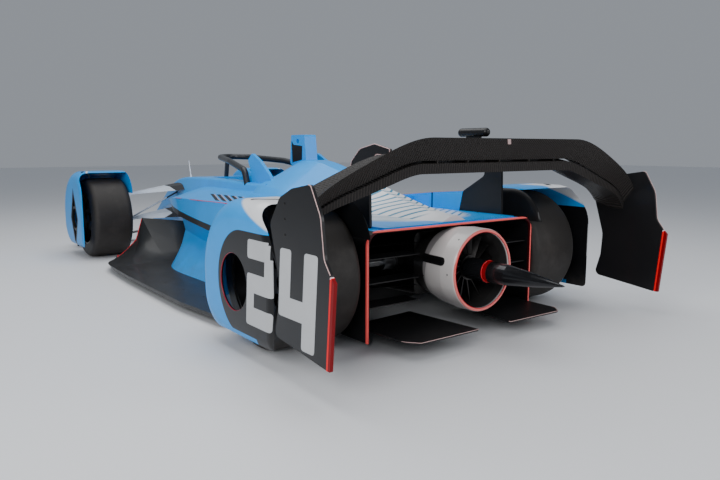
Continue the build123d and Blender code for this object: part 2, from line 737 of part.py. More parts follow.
def make_strip(plate):
    "The lamp strip down an endplate's trailing edge."
    low = (endplate_shares[1][0] * half_length, endplate_shares[1][1] * body_height)
    high = (endplate_shares[2][0] * half_length, endplate_shares[2][1] * body_height)
    points = (low, (low[0] - strip_width, low[1]), (high[0] - strip_width, high[1] - strip_width), high)
    bar = side_plate(points, [strip_corner] * len(points), half_width, endplate_thickness)
    return bar - plate


def box_outline(grow, x):
    h, t = box_half + grow, box_top_z + grow
    points = [Vector(x, -h, box_bottom_z), Vector(x, h, box_bottom_z), Vector(x, h, t), Vector(x, -h, t)]
    return rounded_face(points, [0.0, 0.0, box_corner + grow, box_corner + grow])


def make_box():
    "The rear tunnel: two sides and a roof, open below and at both ends."
    outer = extrude(box_outline(0.0, box_rear_x), amount=box_front_x - box_rear_x, dir=(1, 0, 0))
    inner = extrude(box_outline(-thin_plate, box_rear_x), amount=box_front_x - box_rear_x - skin,
                    dir=(1, 0, 0))
    low = block(box_rear_x, box_front_x - skin, -box_half + thin_plate, box_half - thin_plate,
                0, box_bottom_z + overrun)
    body = outer - inner - low
    for side in (-1, 1):
        window = block(rear_axle_x - window_half, rear_axle_x + window_half,
                       side * (box_half - 3 * thin_plate), side * (box_half + overrun),
                       window_bottom_z, window_top_z)
        body -= window
    return body


vane_height_shares = (0.30, 0.52, 0.74)      # of the box's height, counted from its bottom
vane_rear_gap = 14.0
vane_depth = 116.0
vane_thickness = 5.0
vane_side_gap = 30.0          # from the rotor housing


def make_vanes():
    "The level vanes beside the rotor housing, on the left."
    vanes = []
    for share in vane_height_shares:
        z = box_bottom_z + share * box_height
        rear = box_rear_x + vane_rear_gap
        vanes.append(block(rear, rear + vane_depth, duct_radius + vane_side_gap, box_half - thin_plate - seat_gap,
                           z, z + vane_thickness))
    return vanes


frame_depth = 12.0
frame_lap = 4.0


def make_light_line():
    "The lit frame round the tunnel's mouth."
    outer = extrude(box_outline(frame_lap, box_rear_x - frame_depth), amount=frame_depth, dir=(1, 0, 0))
    inner = extrude(box_outline(-thin_plate, box_rear_x - frame_depth), amount=frame_depth, dir=(1, 0, 0))
    low = block(box_rear_x - frame_depth, box_rear_x, -box_half + thin_plate, box_half - thin_plate,
                0, box_bottom_z + overrun)
    return outer - inner - low


def ring_solid(pairs):
    "A solid of revolution about the housing's axis from (x, radius) pairs."
    points = [Vector(px, 0, duct_axis_z + pr) for px, pr in pairs]
    face = make_face(Polyline(*points, close=True).edges())
    return revolve(face, axis=Axis((0, 0, duct_axis_z), (1, 0, 0)))


# Rotor housing: outer line from the rear lip forward, x as a share of its length and radius as
# a share of its greatest.
housing_shares = ((0.000, 0.976), (0.027, 1.000), (0.305, 1.010), (0.644, 0.961), (1.102, 0.804),
                  (1.000, 0.676), (1.000, 0.598))
hub_rear = 60.0
hub_front = 30.0
carrier_vanes = 3
carrier_vane_length = 40.0
hub_bite = 10.0
blade_bite = 6.0


def make_housing():
    "The fixed housing, and the hub, spindle and vanes inside it that carry the rotor."
    r, w = duct_radius, duct_wall
    line = [(duct_rear_x + xs * duct_length, rs * r) for xs, rs in housing_shares]
    bore = r - w * 1.6
    body = ring_solid(line + [(rotor_x + rotor_depth, bore), (rotor_x - rotor_depth, bore), (duct_rear_x, r - w)])
    hub = long_tube(rotor_hub_radius, duct_front_x - hub_rear, duct_front_x + hub_front, 0, duct_axis_z)
    spindle = long_tube(duct_spindle_radius, spike_root_x, duct_front_x, 0, duct_axis_z)
    vanes = []
    for i in range(carrier_vanes):
        vane = block(duct_front_x - carrier_vane_length, duct_front_x, -thin_plate / 2, thin_plate / 2,
                     rotor_hub_radius - hub_bite, housing_shares[-2][1] * r - w / 2)
        vanes.append(Pos(0, 0, duct_axis_z) * Rot(360 / carrier_vanes * (i + 0.5), 0, 0) * vane)
    carrier = hub + spindle
    for vane in vanes:
        carrier += vane
    return body, carrier - body


def make_rotor():
    "The bladed wheel that turns inside the housing."
    hub = long_tube(rotor_hub_radius, rotor_x - rotor_depth / 2, rotor_x + rotor_depth / 2, 0, duct_axis_z)
    tip = duct_radius - duct_wall * 1.6 - rotor_gap
    wheel = hub
    for i in range(rotor_blades):
        root = rotor_hub_radius - blade_bite
        fin = Pos(rotor_x, 0, (root + tip) / 2) * Rot(0, 0, blade_pitch) * Box(
            rotor_depth, blade_thickness, tip - root)
        wheel += Pos(0, 0, duct_axis_z) * Rot(360 / rotor_blades * i, 0, 0) * fin
    return wheel - long_tube(duct_spindle_radius + spindle_gap, rotor_x - rotor_depth,
                             rotor_x + rotor_depth, 0, duct_axis_z)


# Spike: x as a share of its length from the root, radius as a share of its root's.
spike_shares = ((0.00, 0.00), (0.00, 1.00), (0.30, 0.93), (0.62, 0.60), (0.97, 0.10), (1.00, 0.00))
spike_tail_step = 8.0


def make_spike():
    length = spike_root_x + half_length
    body = ring_solid([(spike_root_x - xs * length, rs * spike_radius) for xs, rs in spike_shares])
    tail = long_tube(rotor_hub_radius - spike_tail_step, spike_root_x, rotor_x - rotor_depth / 2 - wheel_gap, 0, duct_axis_z)
    body = body + tail
    return body - long_tube(duct_spindle_radius, spike_root_x, rotor_x, 0, duct_axis_z)


motor_front_half = 150.0
motor_top_gap = 30.0          # under the deck, in front
motor_bottom_drop = 185.0     # under the axle, in front
motor_step = 20.0             # by which top and bottom draw in at the axle
motor_mid_gap = 140.0
motor_tail_half = 70.0


def make_motor_case():
    low, high = axle_z - motor_bottom_drop, box_top_z - motor_top_gap
    rows = ((box_front_x - skin, motor_front_half, low, high),
            (rear_axle_x - motor_mid_gap, motor_half, low + motor_step, high - motor_step),
            (duct_front_x + hub_front, rotor_hub_radius, duct_axis_z - motor_tail_half,
             duct_axis_z + motor_tail_half))
    faces = []
    for x, half, z0, z1 in rows:
        faces.append(rounded_face([Vector(x, -half, z0), Vector(x, half, z0), Vector(x, half, z1),
                                   Vector(x, -half, z1)], [half * 0.3] * 4))
    flange = cross_tube(motor_flange_radius, -motor_flange_half, motor_flange_half, rear_axle_x, axle_z)
    return loft(faces, ruled=True) + flange


floor_tail_cut = 90.0
floor_end_share = 0.985       # of the floor's half width, where the ramp begins
floor_widest_shares = (-0.256, 0.120)     # of half the length: where it is widest
floor_corners = (0.0, 60.0, 60.0, 500.0, 900.0, 0.0, 0.0)
# Ramp: columns are the share of its length, then y (share of the floor's half width) and z
# (share of the body height) of four points from the tub outwards.
ramp_shares = (
    (0.00, ((0.154, 0.062), (0.550, 0.062), (0.814, 0.062), (0.985, 0.062))),
    (0.42, ((0.154, 0.135), (0.561, 0.125), (0.770, 0.095), (0.9625, 0.058))),
    (0.75, ((0.154, 0.230), (0.583, 0.250), (0.6985, 0.130), (0.8965, 0.050))),
    (1.00, ((0.154, 0.300), (0.5995, 0.360), (0.6545, 0.180), (0.8085, 0.045))),
)
keel_shares = (-0.180, 0.400)  # of half the length
keel_half = 200.0


def make_floor(tub):
    plan = ((floor_rear_x, 0.0), (floor_rear_x, floor_tail_half), (floor_rear_x + floor_tail_cut, floor_half * 0.96),
            (floor_widest_shares[0] * half_length, floor_half), (floor_widest_shares[1] * half_length, floor_half),
            (floor_ramp_x, floor_half * floor_end_share), (floor_ramp_x, 0.0))
    flat = plan_plate(plan, floor_corners, floor_z, floor_thickness)
    t = floor_thickness * 0.72
    faces = []
    for share, row in ramp_shares:
        x = floor_ramp_x + (floor_lip_x - floor_ramp_x) * share
        top = [(ys * floor_half, zs * body_height) for ys, zs in row]
        under = [(y - t * 0.7, z - t) for y, z in top]
        under[0] = (top[0][0], top[0][1] - t)
        pts = [Vector(x, y, z) for y, z in top] + [Vector(x, y, z) for y, z in reversed(under)]
        faces.append(make_face(Polyline(*pts, close=True).edges()))
    ramp = loft(faces) - tub
    ramp = ramp.solids().sort_by(lambda s: s.volume)[-1]
    keel = block(keel_shares[0] * half_length, keel_shares[1] * half_length, 0, keel_half, floor_z, tub_bottom_z)
    side = flat + ramp + keel
    body = side + mirrored(side)
    return body - tub


# Plates under the rotor: x ahead of the box's rear, then y, both as shares of its half width.
plate_shares = ((0.316, 0.263), (0.246, 0.947), (-0.386, 0.930), (-0.491, 0.842), (-0.484, 0.193))
plate_corners = (10.0, 20.0, 40.0, 20.0, 10.0)
plate_rise = 54.0             # over the box's bottom
plate_arm_shares = (0.070, 0.211, 0.912)


def make_plates():
    points = [(box_rear_x + xs * box_half, ys * box_half) for xs, ys in plate_shares]
    top = box_bottom_z + plate_rise
    left = plan_plate(points, plate_corners, top, thin_plate)
    rear, front, near = [share * box_half for share in plate_arm_shares]
    arm = block(box_rear_x + rear, box_rear_x + front, near, box_half - thin_plate, top - thin_plate / 2, top)
    left = left + arm
    for vane in make_vanes():
        left = left + vane
    return left + mirrored(left)


camera_shares = (-0.778, 1.003, 0.880)   # x of half the length, z and stem's foot of the body height
camera_radius = 21.0
camera_length = 190.0
camera_stem_half = 45.0
camera_stem_y = 7.0


def make_centre_pod():
    "The small camera housing over the wing, on its thin stem."
    x, z, foot = camera_shares[0] * half_length, camera_shares[1] * body_height, camera_shares[2] * body_height
    pod = Pos(x, 0, z) * Rot(0, 90, 0) * Cylinder(camera_radius, camera_length)
    pod = fillet(pod.edges().filter_by(GeomType.CIRCLE), camera_radius * 0.8)
    return pod + block(x - camera_stem_half, x + camera_stem_half, -camera_stem_y, camera_stem_y, foot, z)


# Seat: side view, x as a share of its length, z as a share of its height.
seat_shares = ((0.000, 0.00), (0.692, 0.00), (1.000, 0.15), (0.744, 0.25), (0.385, 0.35), (0.103, 1.00),
               (0.000, 1.00))
seat_corners = (6.0, 60.0, 12.0, 30.0, 80.0, 12.0, 6.0)
seat_length = 390.0
seat_half = 190.0
seat_back_gap = 10.0
headrest_shares = (0.610, 0.760)         # of the body height
headrest_gap = 20.0                      # over the seat
headrest_half = 150.0
headrest_thickness = 60.0
headrest_corner = 30.0


def make_seat():
    low = cockpit_floor_z + seat_gap
    tall = headrest_shares[0] * body_height - headrest_gap - low
    rear = cockpit_rear_x + seat_back_gap
    points = [(rear + xs * seat_length, low + zs * tall) for xs, zs in seat_shares]
    return side_plate(points, seat_corners, seat_half, 2 * seat_half)


def make_headrest():
    low, high = [share * body_height for share in headrest_shares]
    pad = block(cockpit_rear_x + seat_gap, cockpit_rear_x + headrest_thickness,
                -headrest_half, headrest_half, low, high)
    return fillet(pad.edges().filter_by(Axis.X), headrest_corner)


hand_setback = 350.0      # behind the cockpit's front
hand_thickness = 26.0
hand_half = 130.0
hand_rise = 62.0
hand_corner = 34.0
grip_radius = 24.0
grip_y = 74.0
column_radius = 16.0
column_length = 380.0
column_drop = 70.0
column_foot_half = 20.0
column_neck = 34.0


def make_steering():
    "The hand wheel with its two grips, on a column held between the leg tunnel's sides."
    x, z = cockpit_front_x - hand_setback, foot_well_top_z
    hand = block(x, x + hand_thickness, -hand_half, hand_half, z - hand_rise, z + hand_rise)
    hand = fillet(hand.edges().filter_by(Axis.X), hand_corner)
    for side in (-1, 1):
        grip = Cylinder(grip_radius, 2 * hand_thickness + overrun)
        hand -= Pos(x + hand_thickness / 2, side * grip_y, z) * Rot(0, 90, 0) * grip
    near, axis_z = x + hand_thickness, z - column_drop
    far = near + column_length
    column = long_tube(column_radius, near, far, 0, axis_z)
    neck = block(near, near + column_neck, -column_foot_half, column_foot_half,
                 axis_z - column_foot_half, axis_z + 5 * column_foot_half)
    foot = block(far - 2 * column_foot_half, far, -foot_well_half, foot_well_half,
                 axis_z - column_foot_half, axis_z + column_foot_half)
    return hand + column + neck + foot


antenna_shares = (0.6308, 0.640)
antenna_base_radius = 16.0
antenna_base_length = 50.0
antenna_base_rise = 15.0
antenna_rod_radius = 6.0
antenna_rod_length = 150.0
antenna_rod_rise = 100.0
antenna_lean = 15.0
antenna_shift = 18.0


def make_antenna(tub):
    x, z = antenna_shares[0] * half_length, antenna_shares[1] * body_height
    base = Pos(x, 0, z + antenna_base_rise) * Cone(antenna_base_radius, antenna_base_radius / 2, antenna_base_length)
    rod = Cone(antenna_rod_radius, antenna_rod_radius / 2, antenna_rod_length)
    return base + Pos(x + antenna_shift, 0, z + antenna_rod_rise) * Rot(0, antenna_lean, 0) * rod - tub


battery_half = 270.0
battery_length = 640.0
battery_gap = 10.0        # behind the tub and under the cover


def make_battery():
    front = tub_shares[-1][0] * half_length - battery_gap
    return block(front - battery_length, front, -battery_half, battery_half, floor_z, box_top_z - battery_gap)


def main():
    tub_solid = tub_outer()
    cover = make_cover() - tub_solid
    pieces = {}
    pieces["tub"] = make_tub(tub_solid)
    pieces["floor"] = make_floor(tub_solid)
    panel, post = make_posts()
    pod = make_sidepod(tub_solid, cover + panel)
    pieces["sidepods"] = pod + mirrored(pod)
    pieces["roll_hoop"] = make_hoop(tub_solid, cover)
    fin = make_fin(tub_solid, cover)
    pieces["head_fins"] = fin + mirrored(fin)
    pieces["halo"] = make_halo(tub_solid)
    pieces["front_wing"] = make_front_wing(tub_solid)
    pieces["seat"] = make_seat()
    pieces["headrest"] = make_headrest()
    pieces["steering_wheel"] = make_steering()
    pieces["antenna"] = make_antenna(tub_solid)
    tunnel = make_box()
    pieces["motor_case"] = make_motor_case() - tunnel
    panel = panel - cover - post
    pieces["engine_cover"] = cover + panel + mirrored(panel)
    pieces["wing_main"] = arch_loft(main_shares)
    flap = arch_loft(flap_shares)
    for bracket in slot_brackets(pieces["wing_main"]):
        flap += bracket
    pieces["wing_flap"] = flap
    post = post - pieces["wing_main"] - pieces["wing_flap"] - cover
    pieces["wing_posts"] = post + mirrored(post)
    plate = make_endplate()
    pieces["endplates"] = plate + mirrored(plate)
    strip = make_strip(plate)
    pieces["tail_lights"] = strip + mirrored(strip) + make_light_line()
    pieces["tunnel_box"] = tunnel
    pieces["tunnel_plates"] = make_plates()
    pieces["rotor_housing"], pieces["rotor_carrier"] = make_housing()
    pieces["rotor"] = make_rotor()
    pieces["tail_spike"] = make_spike()
    pieces["wing_centre_pod"] = make_centre_pod() - pieces["wing_main"] - pieces["wing_flap"]
    pieces["battery"] = make_battery()
    upper = front_arm(upper_root_z, upper_tip_z, upper_tilt, tub_solid)
    lower = front_arm(lower_root_z, lower_tip_z, lower_tilt, tub_solid)
    rod = push_rod(tub_solid)
    pieces["front_upper_arms"] = upper + mirrored(upper)
    pieces["front_lower_arms"] = lower + rod + mirrored(lower) + mirrored(rod)
    case = pieces["motor_case"]
    high, low = window_top_z - rear_arm_gap, window_bottom_z + rear_arm_gap
    struts = rear_arm(high, high - rear_arm_fall, case) + rear_arm(low, low + rear_arm_fall, case)
    pieces["rear_arms"] = struts + mirrored(struts)
    corner_pieces = {
        "front_tyre": tyre(front_tyre_width, front_tyre_inner_y, front_axle_x),
        "rear_tyre": tyre(rear_tyre_width, rear_tyre_inner_y, rear_axle_x),
        "front_rim": rim(front_tyre_width, front_tyre_inner_y, front_axle_x, spindle_radius + spindle_gap),
        "rear_rim": rim(rear_tyre_width, rear_tyre_inner_y, rear_axle_x, shaft_radius),
        "front_upright": front_upright(),
        "front_fairing": make_front_fairing(),
        "driveshaft": make_driveshaft(),
    }
    for name, shape in corner_pieces.items():
        pieces[name + "_left"] = shape
        pieces[name + "_right"] = mirrored(shape)
    hood = make_rear_fairing(tunnel)
    pieces["rear_fairings"] = hood + mirrored(hood)
    carrier = rear_upright()
    pieces["rear_uprights"] = carrier + mirrored(carrier)
    for name, shape in pieces.items():
        export_step(shape, f"parts/{name}.step")
        print(name, round(shape.volume / 1e6, 2), "litres", len(shape.solids()), "solids")


main()
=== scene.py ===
# %% [markdown]
# # Dressing a single seat racing car
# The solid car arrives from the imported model: every panel, tyre and wing is already in
# place, in metres, with +X forward, +Y to the car's left and +Z up. These cells give it
# paint, carbon fibre and rubber, and add what is too thin for the solid model: lamp lines,
# louvres, the race number, stitched pads and small fasteners.

# %% Load the car
import bpy
import bmesh
import math
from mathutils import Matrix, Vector
from mathutils.bvhtree import BVHTree


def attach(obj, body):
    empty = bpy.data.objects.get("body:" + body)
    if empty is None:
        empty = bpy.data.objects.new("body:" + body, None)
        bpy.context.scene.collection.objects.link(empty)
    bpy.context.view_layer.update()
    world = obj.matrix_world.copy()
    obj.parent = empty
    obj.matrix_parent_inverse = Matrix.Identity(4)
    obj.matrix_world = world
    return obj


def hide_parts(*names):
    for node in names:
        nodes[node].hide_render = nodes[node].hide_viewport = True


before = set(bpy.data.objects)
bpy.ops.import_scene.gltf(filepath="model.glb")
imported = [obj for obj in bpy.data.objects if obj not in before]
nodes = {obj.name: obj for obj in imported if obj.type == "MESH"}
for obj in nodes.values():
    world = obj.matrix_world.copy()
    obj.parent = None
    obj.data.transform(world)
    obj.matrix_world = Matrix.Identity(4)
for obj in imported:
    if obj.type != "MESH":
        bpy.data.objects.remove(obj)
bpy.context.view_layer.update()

# %% [markdown]
# ## Small helpers for shader trees
# A material is a small tree of nodes. Four helpers keep the cells short: one adds a node and
# sets its values by name, one joins two sockets, one wraps arithmetic, because masks are
# built from many small sums, and one opens a node group with named inputs and outputs.


# %% Helpers for shader trees
def add(tree, kind, **values):
    node = tree.nodes.new(kind)
    for key, value in values.items():
        if hasattr(node, key):
            setattr(node, key, value)
        else:
            node.inputs[key.replace("_", " ")].default_value = value
    return node


def join(tree, source, target):
    tree.links.new(source, target)


def math_node(tree, operation, first, second=None, clamp=False):
    node = tree.nodes.new("ShaderNodeMath")
    node.operation = operation
    node.use_clamp = clamp
    for socket, value in zip(node.inputs, (first, second)):
        if value is None:
            continue
        if isinstance(value, (int, float)):
            socket.default_value = value
        else:
            tree.links.new(value, socket)
    return node.outputs[0]


def new_group(name, inputs, outputs):
    group = bpy.data.node_groups.new(name, "ShaderNodeTree")
    for label, default in inputs:
        socket = group.interface.new_socket(label, in_out="INPUT", socket_type="NodeSocketFloat")
        socket.default_value = default
    for label in outputs:
        group.interface.new_socket(label, in_out="OUTPUT", socket_type="NodeSocketFloat")
    return group, group.nodes.new("NodeGroupInput"), group.nodes.new("NodeGroupOutput")


print("helpers ready")

# %% [markdown]
# ## Effects that several finishes share
# Real surfaces have breaks in their colour, a fine unevenness in gloss and a little road
# dust low down. Each effect is one group with plain inputs. A group gives masks and values
# only; the shader that uses them stays in each material.


# %% Band mask: one between two values, with soft edges
SOFT = 0.002  # a masked edge fades over 2 mm


def make_band():
    group, entry, out = new_group("Band Mask", (("Value", 0), ("Low", 0), ("High", 1), ("Soft", SOFT)),
                                  ("Mask",))
    rise = math_node(group, "SUBTRACT", entry.outputs["Value"], entry.outputs["Low"])
    fall = math_node(group, "SUBTRACT", entry.outputs["High"], entry.outputs["Value"])
    rise = math_node(group, "DIVIDE", rise, entry.outputs["Soft"], clamp=True)
    fall = math_node(group, "DIVIDE", fall, entry.outputs["Soft"], clamp=True)
    join(group, math_node(group, "MULTIPLY", rise, fall), out.inputs["Mask"])
    return group


band_group = make_band()
print("group:", band_group.name)

# %% [markdown]
# ### Discs
# Hub holes, tyre walls and the round field on the fairing are discs. A disc could be cut as
# a sticker of its own, but a mask of the distance from a middle keeps the panel whole.


# %% Spot mask: one inside a circle
def make_spot():
    group, entry, out = new_group(
        "Spot Mask", (("Across", 0), ("Up", 0), ("Middle Across", 0), ("Middle Up", 0),
                      ("Radius", 1), ("Soft", SOFT)), ("Mask",))
    a = math_node(group, "SUBTRACT", entry.outputs["Across"], entry.outputs["Middle Across"])
    u = math_node(group, "SUBTRACT", entry.outputs["Up"], entry.outputs["Middle Up"])
    square = math_node(group, "ADD", math_node(group, "MULTIPLY", a, a), math_node(group, "MULTIPLY", u, u))
    reach = math_node(group, "SUBTRACT", entry.outputs["Radius"], math_node(group, "SQRT", square))
    join(group, math_node(group, "DIVIDE", reach, entry.outputs["Soft"], clamp=True), out.inputs["Mask"])
    return group


spot_group = make_spot()
print("group:", spot_group.name)

# %% [markdown]
# ### Slow tone and fine speckle
# No sprayed panel has one even colour or gloss. One slow noise shifts the tone and smears
# the gloss, and one fine noise gives the bumps. Two are enough, because the eye reads large
# and small unevenness apart.

# %% Surface life: slow tone change, fine speckle and a height for bumps
TONE_SPREAD, TONE_FLOOR = 0.24, 0.88


def make_surface():
    group, entry, out = new_group("Surface Life", (("Size", 6.0), ("Speckle Size", 900.0)),
                                  ("Tone", "Smear", "Height"))
    place = group.nodes.new("ShaderNodeTexCoord")
    slow = add(group, "ShaderNodeTexNoise", Detail=3.0, Roughness=0.55)
    fine = add(group, "ShaderNodeTexNoise", Detail=1.0, Roughness=0.5)
    for texture, label in ((slow, "Size"), (fine, "Speckle Size")):
        join(group, place.outputs["Object"], texture.inputs["Vector"])
        join(group, entry.outputs[label], texture.inputs["Scale"])
    tone = math_node(group, "MULTIPLY", slow.outputs["Fac"], TONE_SPREAD)
    join(group, math_node(group, "ADD", tone, TONE_FLOOR), out.inputs["Tone"])
    join(group, slow.outputs["Fac"], out.inputs["Smear"])
    join(group, fine.outputs["Fac"], out.inputs["Height"])
    return group


surface_group = make_surface()
print("group:", surface_group.name)

# %% [markdown]
# ### Road dust
# A racing car picks up dust low down, more on some patches than on others. It could be
# painted by hand; here the height above the ground fades it and a noise breaks it up, so it
# lies alike on every panel.

# %% Road dust: gathers low on the car, in patches
PATCH_GAIN, PATCH_CUT = 2.2, 0.6


def make_dust():
    group, entry, out = new_group("Road Dust", (("Top", 0.25), ("Strength", 0.5)), ("Mask",))
    place = group.nodes.new("ShaderNodeTexCoord")
    split = group.nodes.new("ShaderNodeSeparateXYZ")
    cloud = add(group, "ShaderNodeTexNoise", Scale=14.0, Detail=5.0, Roughness=0.65)
    join(group, place.outputs["Object"], split.inputs[0])
    join(group, place.outputs["Object"], cloud.inputs["Vector"])
    fall = math_node(group, "SUBTRACT", entry.outputs["Top"], split.outputs["Z"])
    fall = math_node(group, "DIVIDE", fall, entry.outputs["Top"], clamp=True)
    patch = math_node(group, "MULTIPLY", cloud.outputs["Fac"], PATCH_GAIN)
    patch = math_node(group, "SUBTRACT", patch, PATCH_CUT, clamp=True)
    mask = math_node(group, "MULTIPLY", math_node(group, "MULTIPLY", fall, patch), entry.outputs["Strength"])
    join(group, mask, out.inputs["Mask"])
    return group


dust_group = make_dust()
print("group:", dust_group.name)

# %% [markdown]
# ### Carbon cloth
# Carbon fibre is woven, and its threads cross. Two sine waves that cross give a checker of
# high and low spots at thread size. They run through the solid in all three directions, so
# no panel has to be unwrapped.


# %% Carbon cloth: two waves that cross
def make_weave():
    group, entry, out = new_group("Carbon Cloth", (("Threads", 160.0),), ("Tone", "Height"))
    place = group.nodes.new("ShaderNodeTexCoord")
    split = group.nodes.new("ShaderNodeSeparateXYZ")
    join(group, place.outputs["Object"], split.inputs[0])
    x, y, z = split.outputs
    first = math_node(group, "ADD", math_node(group, "ADD", x, z), y)
    second = math_node(group, "SUBTRACT", x, math_node(group, "SUBTRACT", y, z))
    waves = []
    for run in (first, second):
        turns = math_node(group, "MULTIPLY", run, entry.outputs["Threads"])
        waves.append(math_node(group, "SINE", math_node(group, "MULTIPLY", turns, math.tau)))
    wave = math_node(group, "MULTIPLY", *waves)
    height = math_node(group, "ADD", math_node(group, "MULTIPLY", wave, 0.5), 0.5)
    tone = math_node(group, "ADD", math_node(group, "MULTIPLY", height, 0.5), 0.75)
    join(group, tone, out.inputs["Tone"])
    join(group, height, out.inputs["Height"])
    return group


weave_group = make_weave()
print("group:", weave_group.name)

# %% [markdown]
# ## A finish and its colour areas
# Every finish starts alike: a Principled shader whose colour is a plain colour times the
# slow tone; some also get dust mixed in low down. Colour areas, such as the black disc on a wheel
# fairing, are masks of bands and spots measured in metres on the car.

# %% A tree for one finish
FAR = 9.0  # the open end of a band, beyond the whole car
COAT_ROUGH, SMEAR, DUST_ROUGH = 0.06, 0.16, 0.75


class Finish:
    "One material being built: colour first, then areas over it, then the shader."

    def __init__(self, name, colour, rough, metal=0.0, coat=0.0, bump=0.06, size=6.0, speckle=900.0,
                 gloss=0.5):
        self.material = bpy.data.materials.new(name)
        self.material.use_nodes = True
        self.tree = self.material.node_tree
        self.tree.nodes.clear()
        out = self.tree.nodes.new("ShaderNodeOutputMaterial")
        self.shader = add(self.tree, "ShaderNodeBsdfPrincipled", Metallic=metal)
        self.shader.inputs["Coat Weight"].default_value = coat
        self.shader.inputs["Coat Roughness"].default_value = COAT_ROUGH
        self.shader.inputs["Specular IOR Level"].default_value = gloss
        join(self.tree, self.shader.outputs[0], out.inputs["Surface"])
        place = self.tree.nodes.new("ShaderNodeTexCoord")
        self.place = place.outputs["Object"]
        split = self.tree.nodes.new("ShaderNodeSeparateXYZ")
        join(self.tree, self.place, split.inputs[0])
        self.x, self.y, self.z = split.outputs
        self.life = self.use(surface_group, Size=size, Speckle_Size=speckle)
        self.colour = self.scaled(colour, self.life.outputs["Tone"])
        spread = math_node(self.tree, "MULTIPLY", self.life.outputs["Smear"], SMEAR)
        self.rough = math_node(self.tree, "ADD", spread, rough - SMEAR / 2)
        self.height = self.life.outputs["Height"]
        self.bump = bump

    def use(self, group, **values):
        node = self.tree.nodes.new("ShaderNodeGroup")
        node.node_tree = group
        for key, value in values.items():
            socket = node.inputs[key.replace("_", " ")]
            if isinstance(value, (int, float)):
                socket.default_value = value
            else:
                join(self.tree, value, socket)
        return node

    def scaled(self, colour, value):
        mix = add(self.tree, "ShaderNodeMix", data_type="RGBA", blend_type="MULTIPLY")
        mix.inputs[0].default_value = 1.0
        mix.inputs[6].default_value = (*colour, 1.0)
        join(self.tree, value, mix.inputs[7])
        return mix.outputs[2]

    def band(self, value, low, high, soft=SOFT):
        return self.use(band_group, Value=value, Low=low, High=high, Soft=soft).outputs["Mask"]

    def above(self, value, low, soft=SOFT):
        return self.band(value, low, FAR, soft)

    def below(self, value, high, soft=SOFT):
        return self.band(value, -FAR, high, soft)

    def spot(self, across, up, middle_across, middle_up, radius, soft=SOFT):
        return self.use(spot_group, Across=across, Up=up, Middle_Across=middle_across,
                        Middle_Up=middle_up, Radius=radius, Soft=soft).outputs["Mask"]

    def both(self, *masks):
        total = masks[0]
        for mask in masks[1:]:
            total = math_node(self.tree, "MULTIPLY", total, mask)
        return total

    def either(self, *masks):
        total = masks[0]
        for mask in masks[1:]:
            total = math_node(self.tree, "MAXIMUM", total, mask)
        return total

    def slant(self, value, lean, other):
        "value + lean * other, for masks whose edge isn't square to the car."
        return math_node(self.tree, "ADD", value, math_node(self.tree, "MULTIPLY", other, lean))

    def inverse(self, mask):
        return math_node(self.tree, "SUBTRACT", 1.0, mask)

    def size_of(self, value):
        return math_node(self.tree, "ABSOLUTE", value)

    def area(self, mask, colour, rough=None):
        "Lays another colour, and a roughness if given, over the mask."
        mix = add(self.tree, "ShaderNodeMix", data_type="RGBA")
        join(self.tree, mask, mix.inputs[0])
        join(self.tree, self.colour, mix.inputs[6])
        join(self.tree, self.scaled(colour, self.life.outputs["Tone"]), mix.inputs[7])
        self.colour = mix.outputs[2]
        if rough is not None:
            blend = add(self.tree, "ShaderNodeMix", data_type="FLOAT")
            join(self.tree, mask, blend.inputs[0])
            join(self.tree, self.rough, blend.inputs[2])
            blend.inputs[3].default_value = rough
            self.rough = blend.outputs[0]
        return self

    def dusty(self, top, strength, colour=(0.16, 0.15, 0.14)):
        mask = self.use(dust_group, Top=top, Strength=strength).outputs["Mask"]
        return self.area(mask, colour, DUST_ROUGH)

    def woven(self, threads, depth=0.25):
        cloth = self.use(weave_group, Threads=threads)
        mix = add(self.tree, "ShaderNodeMix", data_type="RGBA", blend_type="MULTIPLY")
        mix.inputs[0].default_value = 1.0
        join(self.tree, self.colour, mix.inputs[6])
        join(self.tree, cloth.outputs["Tone"], mix.inputs[7])
        self.colour = mix.outputs[2]
        self.height = cloth.outputs["Height"]
        self.bump = depth
        return self

    def ridged(self, height, depth):
        self.height, self.bump = height, depth
        return self

    def glow(self, colour, strength):
        self.shader.inputs["Emission Color"].default_value = (*colour, 1.0)
        self.shader.inputs["Emission Strength"].default_value = strength
        return self

    def glow_area(self, mask, colour, strength):
        "Only the masked area glows."
        mix = add(self.tree, "ShaderNodeMix", data_type="RGBA")
        mix.inputs[6].default_value = (0.0, 0.0, 0.0, 1.0)
        mix.inputs[7].default_value = (*colour, 1.0)
        join(self.tree, mask, mix.inputs[0])
        join(self.tree, mix.outputs[2], self.shader.inputs["Emission Color"])
        self.shader.inputs["Emission Strength"].default_value = strength
        return self

    def done(self, reach=0.0006):
        bump = add(self.tree, "ShaderNodeBump", Strength=self.bump, Distance=reach)
        join(self.tree, self.height, bump.inputs["Height"])
        join(self.tree, bump.outputs[0], self.shader.inputs["Normal"])
        join(self.tree, self.colour, self.shader.inputs["Base Color"])
        join(self.tree, self.rough, self.shader.inputs["Roughness"])
        return self.material


# Colours are linear red, green and blue.
BLUE = (0.0, 0.33, 0.86)
TEAL = (0.01, 0.20, 0.34)
SILVER = (0.60, 0.66, 0.74)
WHITE = (0.74, 0.75, 0.77)
BLACK = (0.006, 0.006, 0.007)
CORAL = (0.85, 0.16, 0.14)
RED = (0.60, 0.004, 0.008)
print("finish builder ready")

# %% [markdown]
# ## Body paint
# The body is sprayed in a bright blue under clear lacquer. The lacquer is the coat of the
# Principled shader. The black belt round the side pods is masked off and sprayed last, so
# its edges are sharp.


